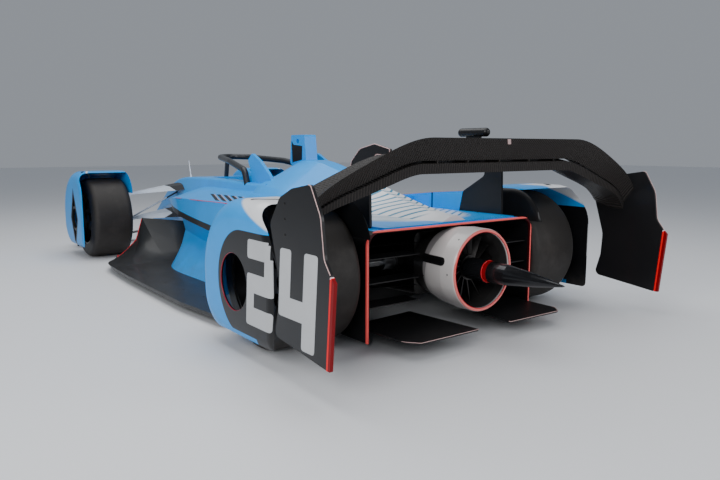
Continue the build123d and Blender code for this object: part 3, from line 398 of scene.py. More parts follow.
# %% Body paints
PAINT_ROUGH, LACQUER, PAINT_GLOSS = 0.36, 0.18, 0.25
TAIL_X, TAIL_LEAN, DECK_Z, WALL_Y = -1.10, 0.55, 0.563, 0.450
STRIPE_TURNS, STRIPE_LEAN, STRIPE_CUT, STRIPE_FADE = 118.0, -0.75, 0.55, (-1.70, -0.90, 0.05)
SWAY_TURNS, SWAY = 60.0, 0.012
WALL_JOINT = (-1.176, -1.163)
BELT_LEAN, BELT = -0.055, (0.395, 0.447)


def body_paint(name):
    return Finish(name, BLUE, PAINT_ROUGH, coat=LACQUER, bump=0.03, gloss=PAINT_GLOSS)


def cover_paint():
    "Blue, then white with teal stripes on the tail; a dark joint across each deck wall."
    finish = body_paint("cover_blue")
    tree = finish.tree
    side = finish.size_of(finish.y)
    tail = finish.below(finish.slant(finish.x, TAIL_LEAN, side), TAIL_X)
    white = finish.both(tail, finish.above(finish.z, DECK_Z), finish.below(side, WALL_Y))
    finish.area(white, WHITE, 0.34)
    sway = math_node(tree, "SINE", math_node(tree, "MULTIPLY", finish.z, SWAY_TURNS))
    sway = math_node(tree, "MULTIPLY", sway, SWAY)
    run = math_node(tree, "ADD", finish.slant(finish.x, STRIPE_LEAN, side), sway)
    wave = math_node(tree, "SINE", math_node(tree, "MULTIPLY", run, STRIPE_TURNS))
    stripe = math_node(tree, "DIVIDE", math_node(tree, "SUBTRACT", wave, STRIPE_CUT), 0.10, clamp=True)
    finish.area(finish.both(stripe, white, finish.band(finish.x, *STRIPE_FADE)), TEAL, 0.34)
    wall = finish.both(finish.above(side, 0.451), finish.above(finish.z, 0.552))
    finish.area(finish.both(wall, finish.band(finish.x, *WALL_JOINT, 0.001)), BLACK, 0.5)
    return finish.dusty(0.2, 0.2).done()


def pod_paint():
    "The side pods: blue above, a black belt, blue boot below."
    finish = body_paint("side_pod_blue")
    belt = finish.both(finish.band(finish.slant(finish.z, BELT_LEAN, finish.x), *BELT),
                       finish.above(finish.size_of(finish.y), 0.30))
    finish.area(belt, BLACK, 0.42)
    return finish.dusty(0.22, 0.5).done()


body_blue = body_paint("body_blue").dusty(0.30, 0.35).done()
cover_blue = cover_paint()
side_pod_blue = pod_paint()
print("paints:", body_blue.name, cover_blue.name, side_pod_blue.name)

# %% [markdown]
# ## Wheel fairings
# Both fairings are blue outside. The rear one carries a big black field, round in front
# and level behind, and a white patch on its shoulder. The front one carries a black diamond
# and a white stripe over its crown. All are masks, so their edges follow the shell exactly.

# %% Fairing paints
REAR_AXLE = (-1.530, 0.335)
FRONT_AXLE = (1.700, 0.335)
FIELD_X, FIELD_RADIUS = -1.615, 0.243
REAR_SHELL_Y, FRONT_SHELL_Y, INNER_WALL_Y = 0.955, 0.95, 0.598
CROWN_LEAN, CROWN_STRIPE = 0.30, (1.375, 1.392)
DIAMOND_LEAN, DIAMOND_HALF = 0.46, 0.121


def rear_fairing_paint():
    finish = body_paint("rear_fairing_blue")
    x, z = finish.x, finish.z
    side = finish.size_of(finish.y)
    shoulder = finish.both(finish.below(finish.slant(x, -2.7, z), -3.42, 0.03),
                           finish.above(side, 0.84, 0.02), finish.above(z, 0.585))
    finish.area(shoulder, WHITE, 0.32)
    level = finish.both(finish.below(x, FIELD_X), finish.below(z, REAR_AXLE[1] + FIELD_RADIUS))
    field = finish.either(finish.spot(x, z, FIELD_X, REAR_AXLE[1], FIELD_RADIUS), level)
    lip = finish.both(finish.below(z, 0.118), finish.above(x, -1.74))
    field = finish.both(field, finish.above(side, REAR_SHELL_Y), finish.inverse(lip))
    finish.area(field, BLACK, 0.36)
    finish.area(finish.below(side, INNER_WALL_Y), BLACK, 0.6)
    return finish.dusty(0.22, 0.4).done()


def front_fairing_paint():
    finish = body_paint("front_fairing_blue")
    x, z = finish.x, finish.z
    side = finish.size_of(finish.y)
    stripe = finish.both(finish.band(finish.slant(side, CROWN_LEAN, x), *CROWN_STRIPE),
                         finish.above(z, 0.60))
    finish.area(stripe, WHITE, 0.32)
    across = finish.size_of(math_node(finish.tree, "SUBTRACT", x, FRONT_AXLE[0]))
    up = finish.size_of(math_node(finish.tree, "SUBTRACT", z, FRONT_AXLE[1]))
    diamond = finish.both(finish.below(finish.slant(across, DIAMOND_LEAN, up), DIAMOND_HALF),
                          finish.above(side, FRONT_SHELL_Y))
    finish.area(diamond, BLACK, 0.4)
    return finish.dusty(0.22, 0.4).done()


rear_fairing_blue = rear_fairing_paint()
front_fairing_blue = front_fairing_paint()
print("fairings:", rear_fairing_blue.name, front_fairing_blue.name)

# %% [markdown]
# ## Carbon fibre
# Floor, wings and tunnel are bare carbon under satin lacquer: nearly black, with a cloth
# weave that shows only in a raking light. The flap is ribbed along its span, so its height
# is a wave across the car instead of a weave.


# %% Carbon finishes
RIB_PITCH, DECK_SKIN_Z = 0.014, 0.5486


def carbon(name, rough=0.36, threads=150.0, tone=BLACK):
    return Finish(name, tone, rough, coat=0.08, gloss=0.35).woven(threads, 0.18)


def ribbed_carbon():
    finish = Finish("ribbed_wing", (0.010, 0.008, 0.007), 0.46, gloss=0.3)
    wave = math_node(finish.tree, "SINE", math_node(finish.tree, "MULTIPLY", finish.y, math.tau / RIB_PITCH))
    rib = math_node(finish.tree, "DIVIDE", math_node(finish.tree, "SUBTRACT", wave, 0.3), 0.5, clamp=True)
    finish.area(rib, (0.030, 0.024, 0.021), 0.5)
    return finish.ridged(wave, 0.9).done(0.002)


def deck_finish():
    "Bare carbon inside and below, blue on the flat deck above."
    finish = carbon("tunnel_carbon", 0.5)
    finish.area(finish.above(finish.z, DECK_SKIN_Z, 0.0004), BLUE, PAINT_ROUGH)
    return finish.done()


carbon_satin = carbon("carbon_satin").done()
carbon_floor = carbon("carbon_floor", 0.40, 120.0, (0.010, 0.011, 0.012)).dusty(0.12, 0.25).done()
carbon_dull = carbon("carbon_dull", 0.5).done()
tunnel_carbon = deck_finish()
ribbed_wing = ribbed_carbon()
print("carbon:", carbon_satin.name, carbon_floor.name, ribbed_wing.name)

# %% [markdown]
# ## Rubber
# The tread is scuffed by the road and duller than the sidewall, and three fine ribs run
# round the wall. The ribs could be modelled, but they are under 3 mm wide, so all areas are
# taken from the distance to the axle, and front and rear tyres share one finish.

# %% Rubber
TREAD_RADIUS, WALL_RIBS, RIB_WIDTH = 0.322, (0.246, 0.262, 0.300), 0.0022


def tyre_rubber(name, axle):
    finish = Finish(name, (0.010, 0.009, 0.009), 0.52, bump=0.25, size=18.0, speckle=420.0, gloss=0.4)

    def disc(radius, soft=SOFT):
        return finish.spot(finish.x, finish.z, *axle, radius, soft)

    tread = finish.inverse(disc(TREAD_RADIUS, 0.01))
    finish.area(tread, (0.020, 0.017, 0.015), 0.60)
    for radius in WALL_RIBS:
        rib = finish.both(disc(radius + RIB_WIDTH), finish.inverse(disc(radius)))
        finish.area(rib, (0.04, 0.04, 0.042), 0.45)
    wear = add(finish.tree, "ShaderNodeTexNoise", Scale=5.0, Detail=4.0, Roughness=0.7)
    join(finish.tree, finish.place, wear.inputs["Vector"])
    scuff = math_node(finish.tree, "SUBTRACT", wear.outputs["Fac"], 0.52)
    scuff = math_node(finish.tree, "MULTIPLY", scuff, 2.5, clamp=True)
    finish.area(finish.both(scuff, tread), (0.045, 0.038, 0.034), 0.5)
    return finish.dusty(0.4, 0.25, (0.08, 0.07, 0.065)).done(0.0012)


front_rubber = tyre_rubber("front_rubber", FRONT_AXLE)
rear_rubber = tyre_rubber("rear_rubber", REAR_AXLE)
print("rubber:", front_rubber.name, rear_rubber.name)

# %% [markdown]
# ## Metals and plain lacquers
# Rims, shafts and motor are metal without colour areas, and small trim is plain lacquer.
# They differ only in colour, roughness and metal, so one line each is enough.


# %% Metals and lacquers
def plain(name, colour, rough, metal, **more):
    return Finish(name, colour, rough, metal=metal, **more).done()


rim_dark = plain("rim_dark", (0.015, 0.015, 0.017), 0.36, 0.7, coat=0.3)
steel = plain("ground_steel", (0.42, 0.43, 0.45), 0.34, 1.0, size=40.0)
dark_metal = plain("dark_metal", (0.045, 0.043, 0.042), 0.36, 0.9, size=22.0)
halo_paint = plain("halo_paint", (0.012, 0.014, 0.018), 0.40, 0.2, coat=0.2)
# Pale pink lacquer for painted highlights on edges, louvre lips and the wing flap's centre joint.
pale_highlight = plain("pale_highlight", (0.60, 0.40, 0.38), 0.35, 0.0, coat=0.2)
number_grey = plain("number_grey", (0.50, 0.51, 0.52), 0.42, 0.0, coat=0.1)
battery_paint = plain("battery_paint", (0.10, 0.11, 0.12), 0.5, 0.3)
antenna_white = plain("antenna_white", WHITE, 0.35, 0.0, coat=0.2)
# Black lacquer for trim, also laid as painted shade inside louvres, vents and slots.
black_trim_and_shade = plain("black_trim_and_shade", BLACK, 0.45, 0.0, gloss=0.35)
print("metals and lacquers done")

# %% [markdown]
# ## Suspension arms, rotor housing and spike
# The arms are silver with black ends, the housing is white with a coral lip, a painted shadow
# on its front and painted shade below, and the spike is dark metal with a red collar. The ends
# could be separate pieces, but they look painted, so they are areas of one finish.

# %% Suspension arms, housing and spike
ROTOR_Z, BORE_RADIUS, LIP_X = 0.340, 0.1865, -2.0265


def arm_finish():
    "Silver arms with a black end at the tub and a black strip along the rear edge."
    finish = Finish("arm_silver", SILVER, 0.34, metal=0.1, coat=0.3)
    side = finish.size_of(finish.y)
    finish.area(finish.below(side, 0.285), BLACK, 0.45)
    rear = finish.below(finish.slant(finish.x, -0.35, side), 1.225)
    finish.area(finish.both(rear, finish.below(finish.z, 0.48)), BLACK, 0.45)
    return finish.done()


def housing_finish():
    """White shell with a grey painted shadow in front and grey painted shade below, a coral lip and a dark
    bore.
    """
    finish = Finish("housing_white", (0.70, 0.66, 0.64), 0.36, coat=0.35)
    # Grey painted shadow on the front, and painted shade fading in towards the bottom.
    front = finish.above(finish.slant(finish.x, 0.22, finish.z), -1.75, 0.003)
    low = finish.below(finish.z, 0.27, 0.10)
    finish.area(finish.either(front, low), (0.36, 0.34, 0.34), 0.38)
    finish.area(finish.below(finish.x, LIP_X, 0.0005), CORAL, 0.3)
    bore = finish.spot(finish.y, finish.z, 0.0, ROTOR_Z, BORE_RADIUS, 0.001)
    finish.area(bore, (0.02, 0.019, 0.019), 0.4)
    return finish.done()


def spike_finish():
    finish = Finish("spike_metal", (0.020, 0.021, 0.024), 0.24, metal=0.6, coat=0.3, size=30.0)
    finish.area(finish.band(finish.x, -2.092, -2.060, 0.006), RED, 0.35)
    return finish.done()


arm_silver, housing_white, spike_metal = arm_finish(), housing_finish(), spike_finish()
print("made:", arm_silver.name, housing_white.name, spike_metal.name)

# %% [markdown]
# ## Lamps
# The endplate bars and the thin frame round the tunnel are red lights. Each could be a light
# source, but so weak a light hardly colours anything round it, so the surface glows a
# little by itself, and only along the line that shines.

# %% Lamps
BAR_Y, BAR_LEAN = 0.9, 0.086


def lamp_bar_finish():
    "The endplate bars glow along their front edge; the tunnel's frame is a thin coral line."
    finish = Finish("lamp_bars", (0.20, 0.0, 0.003), 0.35, gloss=0.2)
    side = finish.size_of(finish.y)
    bar = finish.above(side, BAR_Y)
    front = finish.above(finish.slant(finish.x, BAR_LEAN, finish.z), -2.298, 0.001)
    border = finish.inverse(bar)
    edge = finish.both(border, finish.either(finish.band(side, 0.5655, BAR_Y, 0.0008),
                                             finish.above(finish.z, 0.5455, 0.0008)))
    line = finish.both(bar, front)
    tip = finish.both(bar, finish.above(finish.slant(finish.z, 0.9, finish.x), -1.621))
    finish.area(border, (0.05, 0.002, 0.004), 0.4)
    finish.area(line, (0.62, 0.002, 0.004), 0.35)
    finish.area(edge, CORAL, 0.35)
    finish.area(tip, WHITE, 0.3)
    finish.glow_area(finish.either(line, edge), (0.9, 0.01, 0.02), 0.25)
    return finish.done()


def lamp_finish(name, colour, strength):
    return Finish(name, colour, 0.32, coat=0.2).glow(colour, strength).done()


lamp_bars = lamp_bar_finish()
lamp_red = lamp_finish("lamp_red", (0.50, 0.002, 0.010), 0.20)
lamp_dull = lamp_finish("lamp_dull_red", (0.30, 0.004, 0.03), 0.12)
lamp_pale = lamp_finish("lamp_pale", (0.85, 0.62, 0.60), 0.3)
print("lamps done")

# %% [markdown]
# ## Cloth and webbing
# Seat, pads and belts are woven too, but finer and softer than carbon. The same weave group
# serves, with more threads and hardly any gloss.


# %% Cloth and webbing
def cloth(name, colour, threads, depth, rough=0.85):
    return Finish(name, colour, rough, gloss=0.2).woven(threads, depth).done(0.001)


seat_cloth = cloth("seat_cloth", (0.016, 0.016, 0.018), 420.0, 0.6)
pad_cloth = cloth("pad_cloth", (0.022, 0.024, 0.030), 300.0, 0.7)
belt_webbing = cloth("belt_webbing", (0.02, 0.06, 0.20), 380.0, 0.5, 0.8)
print("materials:", len(bpy.data.materials))

# %% [markdown]
# ## Paint on the solids
# Each solid keeps its shape. Only its material slots change.

# %% Give each solid its finish
finishes = {
    "tub": body_blue, "engine_cover": cover_blue, "sidepods": side_pod_blue, "head_fins": body_blue,
    "roll_hoop": body_blue, "halo": halo_paint, "floor": carbon_floor, "front_wing": carbon_satin,
    "seat": seat_cloth, "headrest": seat_cloth, "steering_wheel": carbon_dull, "antenna": antenna_white,
    "motor_case": dark_metal, "wing_posts": carbon_satin, "wing_main": ribbed_wing,
    "wing_flap": ribbed_wing, "endplates": carbon_satin, "tail_lights": lamp_bars,
    "tunnel_box": tunnel_carbon, "rotor_carrier": dark_metal, "tunnel_plates": carbon_dull,
    "rotor_housing": housing_white, "rotor": dark_metal, "tail_spike": spike_metal,
    "wing_centre_pod": carbon_satin,
    "battery": battery_paint, "front_upper_arms": arm_silver, "front_lower_arms": arm_silver,
    "rear_arms": carbon_dull, "rear_uprights": dark_metal, "rear_fairings": rear_fairing_blue,
}
for side in ("left", "right"):
    finishes.update({
        "front_tyre_" + side: front_rubber, "rear_tyre_" + side: rear_rubber,
        "front_rim_" + side: rim_dark, "rear_rim_" + side: rim_dark,
        "front_upright_" + side: dark_metal, "driveshaft_" + side: steel,
        "front_fairing_" + side: front_fairing_blue})
for name, material in finishes.items():
    mesh = nodes[name].data
    mesh.materials.clear()
    mesh.materials.append(material)
print("solids with a finish:", len(finishes), "of", len(nodes))

# %% [markdown]
# ## Laying thin patches on panels
# A sticker follows the panel under it. The patch starts as a flat outline, is cut into a
# fine grid, and each point is dropped along one axis until it meets the panel. A second
# skin under it closes the patch, so it is a thin solid and not a loose sheet.

# %% Helpers for skins and new pieces
SIDES = {1: "left", -1: "right"}
FILM_LIFT, FILM_DEPTH, PATCH_REACH = 0.0008, 0.002, 0.30
SHARP_ANGLE = math.radians(35)
skins = {}


def skin_of(name):
    if name not in skins:
        mesh = nodes[name].data
        skins[name] = BVHTree.FromPolygons([v.co for v in mesh.vertices], [p.vertices for p in mesh.polygons])
    return skins[name]


def finish_piece(name, bm, body, material):
    bmesh.ops.recalc_face_normals(bm, faces=bm.faces)
    mesh = bpy.data.meshes.new(name)
    bm.to_mesh(mesh)
    bm.free()
    mesh.materials.append(material)
    for polygon in mesh.polygons:
        polygon.use_smooth = True
    piece = bpy.data.objects.new(name, mesh)
    bpy.context.scene.collection.objects.link(piece)
    mesh.set_sharp_from_angle(angle=SHARP_ANGLE)
    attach(piece, body)
    return piece


print("piece helpers ready")


# %% Helpers that lay patches
def patch_into(bm, outline, target, axis, start, way, step=0.02, lift=FILM_LIFT):
    "Adds one patch to bm: a flat outline square to the axis, dropped on the target from start."
    others = [i for i in range(3) if i != axis]
    part = bmesh.new()
    verts = []
    for a, b in outline:
        point = [0.0, 0.0, 0.0]
        point[others[0]], point[others[1]], point[axis] = a, b, start
        verts.append(part.verts.new(point))
    part.faces.new(verts)
    drop_part(bm, part, target, axis, way, PATCH_REACH, step, lift)


def drop_part(bm, part, target, axis, way, reach, step, lift=FILM_LIFT):
    "Cuts a flat part into a grid, drops it on the panel and closes it below."
    others = [i for i in range(3) if i != axis]
    for i in others:
        low, high = min(v.co[i] for v in part.verts), max(v.co[i] for v in part.verts)
        count = int((high - low) / step)
        for k in range(1, count + 1):
            at = [0.0, 0.0, 0.0]
            at[i] = low + (high - low) * k / (count + 1)
            normal = [0.0, 0.0, 0.0]
            normal[i] = 1.0
            bmesh.ops.bisect_plane(part, geom=part.verts[:] + part.edges[:] + part.faces[:],
                                   plane_co=at, plane_no=normal)
    ray = Vector([0.0, 0.0, 0.0])
    ray[axis] = way
    missed = []
    top = {}
    for v in part.verts:
        hit = skin_of(target).ray_cast(v.co, ray, reach)[0]
        if hit is None:
            missed.append(v)
        else:
            top[v] = hit[axis]
    bmesh.ops.delete(part, geom=missed, context="VERTS")
    upper, lower = {}, {}
    for v in part.verts:
        for store, shift in ((upper, -way * lift), (lower, way * FILM_DEPTH)):
            point = v.co.copy()
            point[axis] = top[v] + shift
            store[v] = bm.verts.new(point)
    for face in part.faces:
        bm.faces.new([upper[v] for v in face.verts])
        bm.faces.new([lower[v] for v in reversed(face.verts)])
    for edge in part.edges:
        if len(edge.link_faces) == 1:
            a, b = edge.verts
            bm.faces.new([upper[a], upper[b], lower[b], lower[a]])
    part.free()


print("patch helpers ready")

# %% [markdown]
# ## The race number
# The number is cut from pale film: one blocky digit on the fairing, one on the endplate
# behind it. A digit is a few cells of a small grid, welded, with its outer corners rounded,
# so that the film has no overlap inside.

# %% Number
DIGITS = {
    "2": ((0, 1, 0, .22), (0, .30, .22, .39), (0, 1, .39, .61), (.70, 1, .61, .78), (0, 1, .78, 1)),
    "4": ((.66, 1, 0, .28), (0, 1, .28, .50), (0, .31, .50, 1), (.66, 1, .50, 1)),
}
CUTS = {"2": (0, .30, .70, 1), "4": (0, .31, .66, 1)}
NUMBER_LOW, NUMBER_HIGH, NUMBER_LEAN = 0.172, 0.548, 0.09
NUMBER_REACH, NUMBER_STEP, TIP_CUT = 0.16, 0.012, 0.014


def flat_digit(figure, front, back, side):
    "The digit as a flat welded grid beside the car; it reads from outside on either side."
    tall = NUMBER_HIGH - NUMBER_LOW
    left, right = (front, back) if side > 0 else (back, front)
    part = bmesh.new()
    for a0, a1, b0, b1 in DIGITS[figure]:
        cuts = [a for a in CUTS[figure] if a0 <= a <= a1]
        for low, high in zip(cuts, cuts[1:]):
            corners = []
            for a, b in ((low, b0), (high, b0), (high, b1), (low, b1)):
                x = left + (right - left) * a + NUMBER_LEAN * tall * (0.5 - b)
                corners.append(part.verts.new((x, side * 1.2, NUMBER_LOW + tall * b)))
            part.faces.new(corners)
    bmesh.ops.remove_doubles(part, verts=part.verts, dist=0.0005)
    tips = [v for v in part.verts if len(v.link_faces) == 1]
    bmesh.ops.bevel(part, geom=tips, offset=TIP_CUT, segments=3, profile=0.5, affect="VERTICES")
    return part


def make_number(side):
    first, second = ("2", "4") if side > 0 else ("4", "2")
    bm = bmesh.new()
    for figure, front, back, target in ((first, -1.668, -1.885, "rear_fairings"),
                                        (second, -1.968, -2.235, "endplates")):
        part = flat_digit(figure, front, back, side)
        drop_part(bm, part, target, 1, -side, NUMBER_REACH, NUMBER_STEP)
    return finish_piece("number_" + SIDES[side], bm, "chassis", number_grey)


for side in SIDES:
    piece = make_number(side)
    print(piece.name, "faces:", len(piece.data.polygons))

# %% [markdown]
# ## Round lines
# A lamp line is a thin round tube. Blender's curves give one from a row of points and a
# radius, with closed ends, so no mesh has to be built by hand.


# %% Helpers for round lines
def tube(name, lines, radius, material, closed=False, body="chassis"):
    "One piece of round lines, each through its own points."
    data = bpy.data.curves.new(name, "CURVE")
    data.dimensions = "3D"
    data.bevel_depth = radius
    data.bevel_resolution = 3
    data.use_fill_caps = True
    for points in lines:
        spline = data.splines.new("POLY")
        spline.points.add(len(points) - 1)
        for point, target in zip(spline.points, points):
            point.co = (*target, 1.0)
        spline.use_cyclic_u = closed
    data.materials.append(material)
    piece = bpy.data.objects.new(name, data)
    bpy.context.scene.collection.objects.link(piece)
    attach(piece, body)
    return piece


def circle(x, y, z, radius, axis, count=72):
    "Points of a circle square to the axis given by its letter."
    points = []
    for i in range(count):
        a = math.tau * i / count
        c, s = radius * math.cos(a), radius * math.sin(a)
        points.append((x + c, y, z + s) if axis == "Y" else (x, y + c, z + s))
    return points


print("round line helpers ready")

# %% [markdown]
# ## Coloured rings
# Thin red rings pick out the hub holes, the rotor housing's lip and the spike's collar. Each
# is a thin round tube laid on the edge, because a bevel there would change the solid.

# %% Rings
for side, label in SIDES.items():
    hub = circle(REAR_AXLE[0], side * 1.082, REAR_AXLE[1], 0.133, "Y")
    tube("rear_hub_ring_" + label, [hub], 0.003, lamp_dull, closed=True)
tube("housing_lip_ring", [circle(-2.0285, 0.0, ROTOR_Z, 0.1885, "X")], 0.0022, lamp_red, closed=True)
tube("spike_ring", [circle(-2.064, 0.0, ROTOR_Z, 0.052, "X", 48)], 0.003, lamp_red, closed=True)
print("rings done")

# %% [markdown]
# ## Crease along the side pods
# A red line follows the crease between each side pod and its shoulder. It could be painted
# as a mask, but the crease turns in space, so a tube through five of its points is simpler.

# %% Sidepod creases
CREASE = ((0.945, 0.4455, 0.517), (0.5125, 0.550, 0.562), (0.0, 0.594, 0.578), (-0.5, 0.605, 0.590),
          (-1.0, 0.5115, 0.612))
creases = [[(x, side * (y + 0.001), z) for x, y, z in CREASE] for side in SIDES]
tube("sidepod_crease_lines", creases, 0.003, lamp_red)
print("crease lines:", len(creases))

# %% [markdown]
# ## Pale highlight lines and red lines on the panels' own edges
# The pale lines are painted highlights where sharp edges catch the light, and the red one is a
# dull red line that glows a little. The edge is already in the solid, so the line is read from
# it: sharp edges that lie in a chosen place are walked into chains, and a thin round line runs
# along each chain.

# %% Helper that reads edges
FOLD, WELD, SHORTEST = math.radians(30), 0.00002, 0.04


def edge_lines(name, keep):
    "Chains of points along the sharp edges of a solid whose two ends pass keep."
    bm = bmesh.new()
    bm.from_mesh(nodes[name].data)
    bmesh.ops.remove_doubles(bm, verts=bm.verts, dist=WELD)
    chosen = set()
    for edge in bm.edges:
        if len(edge.link_faces) == 2 and edge.calc_face_angle() > FOLD:
            if all(keep(*vert.co) for vert in edge.verts):
                chosen.add(edge)
    chains = []
    while chosen:
        start = min(chosen, key=lambda e: e.index)
        chosen.discard(start)
        chain = list(start.verts)
        for end in (0, -1):
            while True:
                nexts = [e for e in chain[end].link_edges if e in chosen]
                if not nexts:
                    break
                chosen.discard(nexts[0])
                vert = nexts[0].other_vert(chain[end])
                if end == 0:
                    chain.insert(0, vert)
                else:
                    chain.append(vert)
        chains.append([tuple(vert.co) for vert in chain])
    bm.free()
    return [chain for chain in chains if len(chain) > 2 or math.dist(chain[0], chain[-1]) > SHORTEST]


print("edge reader ready")

# %% [markdown]
# ## Where the edge lines run
# The wing posts, endplates and tunnel plates get pale painted highlights along their edges, and
# the deck walls a dull red line. Each row names its solid and, in metres, the place where its edges lie.

# %% Edge lines
# The pale lines are painted highlights along sharp edges; the deck wall line is a dull red glowing line.
edge_jobs = (
    ("wing_post_edge_highlights", "wing_posts", lambda x, y, z: abs(y) > 0.467 and z > 0.80,
     0.0022, pale_highlight, "halo_grey"),
    ("endplate_edge_lines", "endplates", lambda x, y, z: abs(y) > 1.0965 and z > 0.49 and x < -2.16,
     0.0018, pale_highlight, "halo_grey"),
    ("plate_edge_lines", "tunnel_plates", lambda x, y, z: 0.081 < z < 0.095 and x < -1.86,
     0.0014, pale_highlight, "halo_grey"),
    ("deck_wall_lines", "engine_cover", lambda x, y, z: abs(y) > 0.468 and z > 0.605,
     0.0018, lamp_dull, "lamp_red"),
)
for label, name, keep, radius, material, slot in edge_jobs:
    lines = edge_lines(name, keep)
    if lines:
        tube(label, lines, radius, material)
    print(label, "lines:", len(lines))

# %% [markdown]
# ## The floor's front corner
# The raised front edge of the floor carries a thin line, pale inside and red outside, and a
# small lamp stands on the corner. The line follows four points of the lip.


# %% Floor lip lines and corner lamps
LIP = ((1.1715, 0.5995, 0.352), (1.1715, 0.6545, 0.182), (1.1715, 0.735, 0.105), (1.1715, 0.8085, 0.050))


def lip_line(side, outward):
    return [(x - 0.001, side * (y + outward), z) for x, y, z in LIP]


tube("floor_lip_red_lines", [lip_line(side, 0.002) for side in SIDES], 0.0035, lamp_red)
tube("floor_lip_pale_lines", [lip_line(side, -0.005) for side in SIDES], 0.0025, lamp_pale)


def rounded_box(bm, low, high, cut=0.003):
    "Adds a box with bevelled edges between two corners."
    part = bmesh.new()
    bmesh.ops.create_cube(part, size=1.0)
    for vert in part.verts:
        for i in range(3):
            vert.co[i] = low[i] + (vert.co[i] + 0.5) * (high[i] - low[i])
    bmesh.ops.bevel(part, geom=part.edges[:], offset=cut, segments=2, profile=0.5, affect="EDGES")
    mesh = bpy.data.meshes.new("part")
    part.to_mesh(mesh)
    part.free()
    bm.from_mesh(mesh)
    bpy.data.meshes.remove(mesh)


def pair_of_boxes(name, low, high, material, cut=0.003):
    "One piece with a rounded box on each side of the car."
    bm = bmesh.new()
    for side in SIDES:
        y0, y1 = sorted((side * low[1], side * high[1]))
        rounded_box(bm, (low[0], y0, low[2]), (high[0], y1, high[2]), cut)
    return finish_piece(name, bm, "chassis", material)


pair_of_boxes("floor_corner_feet", (1.120, 0.790, 0.036), (1.168, 0.824, 0.062), black_trim_and_shade)
pair_of_boxes("floor_corner_lamps", (1.110, 0.820, 0.020), (1.120, 0.829, 0.080), lamp_red,
              cut=0.002)
print("floor corners done")

# %% [markdown]
# ## Louvres, vents and dark panels
# Slots and dark panels are laid as thin patches. Each follows the panel under it, so it
# keeps the panel's curve. A real louvre is an opening; here the shade inside it is painted
# as a dark bar, with a painted highlight on the pale lip beside it.


# %% Louvres on the side pods
LOUVRE_COUNT, LOUVRE_X, LOUVRE_PITCH = 5, 0.125, 0.108
LOUVRE_Y, LOUVRE_SWEEP = (0.455, 0.568), 0.34


def bars_on_pods(name, setback, width, material):
    bm = bmesh.new()
    for side in SIDES:
        inner, outer = (side * y for y in LOUVRE_Y)
        for k in range(LOUVRE_COUNT):
            x = LOUVRE_X - LOUVRE_PITCH * k - setback
            outline = [(x, inner), (x - LOUVRE_SWEEP, outer), (x - LOUVRE_SWEEP - width, outer),
                       (x - width, inner)]
            patch_into(bm, outline, "sidepods", 2, 0.80, -1)
    return finish_piece(name, bm, "chassis", material)


# The dark bars are painted shade inside the louvre openings; the pale bars beside them are painted highlights
# on their lips.
bars_on_pods("side_pod_louvre_shade", 0.0, 0.058, black_trim_and_shade)
bars_on_pods("side_pod_louvre_lip_highlights", 0.062, 0.014, pale_highlight)
print("louvres done")

# %% [markdown]
# ## Long holes and panels as patches
# A long hole with round ends is the commonest opening on the car. One helper gives its
# outline, and another lays any number of outlines as one piece.


# %% Helpers for capsule outlines and sets of patches
def capsule(a, b, radius, count=10):
    "Outline of a long hole between two points."
    way = math.atan2(b[1] - a[1], b[0] - a[0])
    points = []
    for (cx, cy), start in ((b, way - math.pi / 2), (a, way + math.pi / 2)):
        for i in range(count + 1):
            angle = start + math.pi * i / count
            points.append((cx + radius * math.cos(angle), cy + radius * math.sin(angle)))
    return points


def patches(name, jobs, material, step=0.012, lift=FILM_LIFT, body="chassis"):
    "One piece from (outline, target, axis, start, way) jobs."
    bm = bmesh.new()
    for outline, target, axis, start, way in jobs:
        patch_into(bm, outline, target, axis, start, way, step, lift)
    piece = finish_piece(name, bm, body, material)
    print(name, "faces:", len(piece.data.polygons))


print("capsule and patch helpers ready")

# %% [markdown]
# ## Vents, slots and the hoop's panel
# The roll hoop carries a black panel on each side. Each fairing's small vent on its crown and
# the rotor housing's slot are painted shade in black, with a darker bar in the slot, and a pale
# painted highlight marks the wing flap's centre joint. The front vents ride on the steered
# bodies, so they turn with their fairings.

# %% Vents and slots
FINE_STEP, ABOVE, BESIDE = 0.008, 0.9, 0.4
HOOP_PANEL = ((-0.308, 0.975), (-0.335, 0.950), (-0.445, 0.942), (-0.440, 0.850), (-0.318, 0.832))
CENTRE_HIGHLIGHT = ((-0.014, 0.946), (0.008, 0.946), (0.030, 0.968), (0.008, 0.968))
SLOT = capsule((-1.800, 0.392), (-1.945, 0.392), 0.020)
SLOT_CORE = capsule((-1.815, 0.396), (-1.935, 0.396), 0.007)

patches("hoop_panels", [(HOOP_PANEL, "roll_hoop", 1, side * 0.3, -side) for side in SIDES],
        black_trim_and_shade)
# The black vent and slot patches that follow are painted shade inside the openings.
patches("fairing_vent_shade", [(capsule((-1.600, side * 1.010), (-1.690, side * 0.930), 0.013),
                           "rear_fairings", 2, ABOVE, -1) for side in SIDES],
        black_trim_and_shade, FINE_STEP)
patches("housing_slot_shade", [(SLOT, "rotor_housing", 1, side * BESIDE, -side) for side in SIDES],
        black_trim_and_shade, FINE_STEP, 0.0015)
patches("housing_slot_cores", [(SLOT_CORE, "rotor_housing", 1, side * BESIDE, -side) for side in SIDES],
        dark_metal, FINE_STEP, 0.003)
for side, label in SIDES.items():
    outline = capsule((1.585, side * 0.945), (1.640, side * 0.920), 0.010)
    patches("front_fairing_vent_shade_" + label, [(outline, "front_fairing_" + label, 2, ABOVE, -1)],
            black_trim_and_shade, FINE_STEP, body="steer_" + label)
# A pale painted highlight on the flap's centre joint.
patches("wing_centre_highlight", [(CENTRE_HIGHLIGHT, "wing_flap", 0, -2.4, 1)], pale_highlight, 0.01)

# %% [markdown]
# ## Small fasteners
# Small domed screws hold the removable panels. Each is a few rings of points round the spot
# where a ray meets the panel, so its head stands square to the skin.


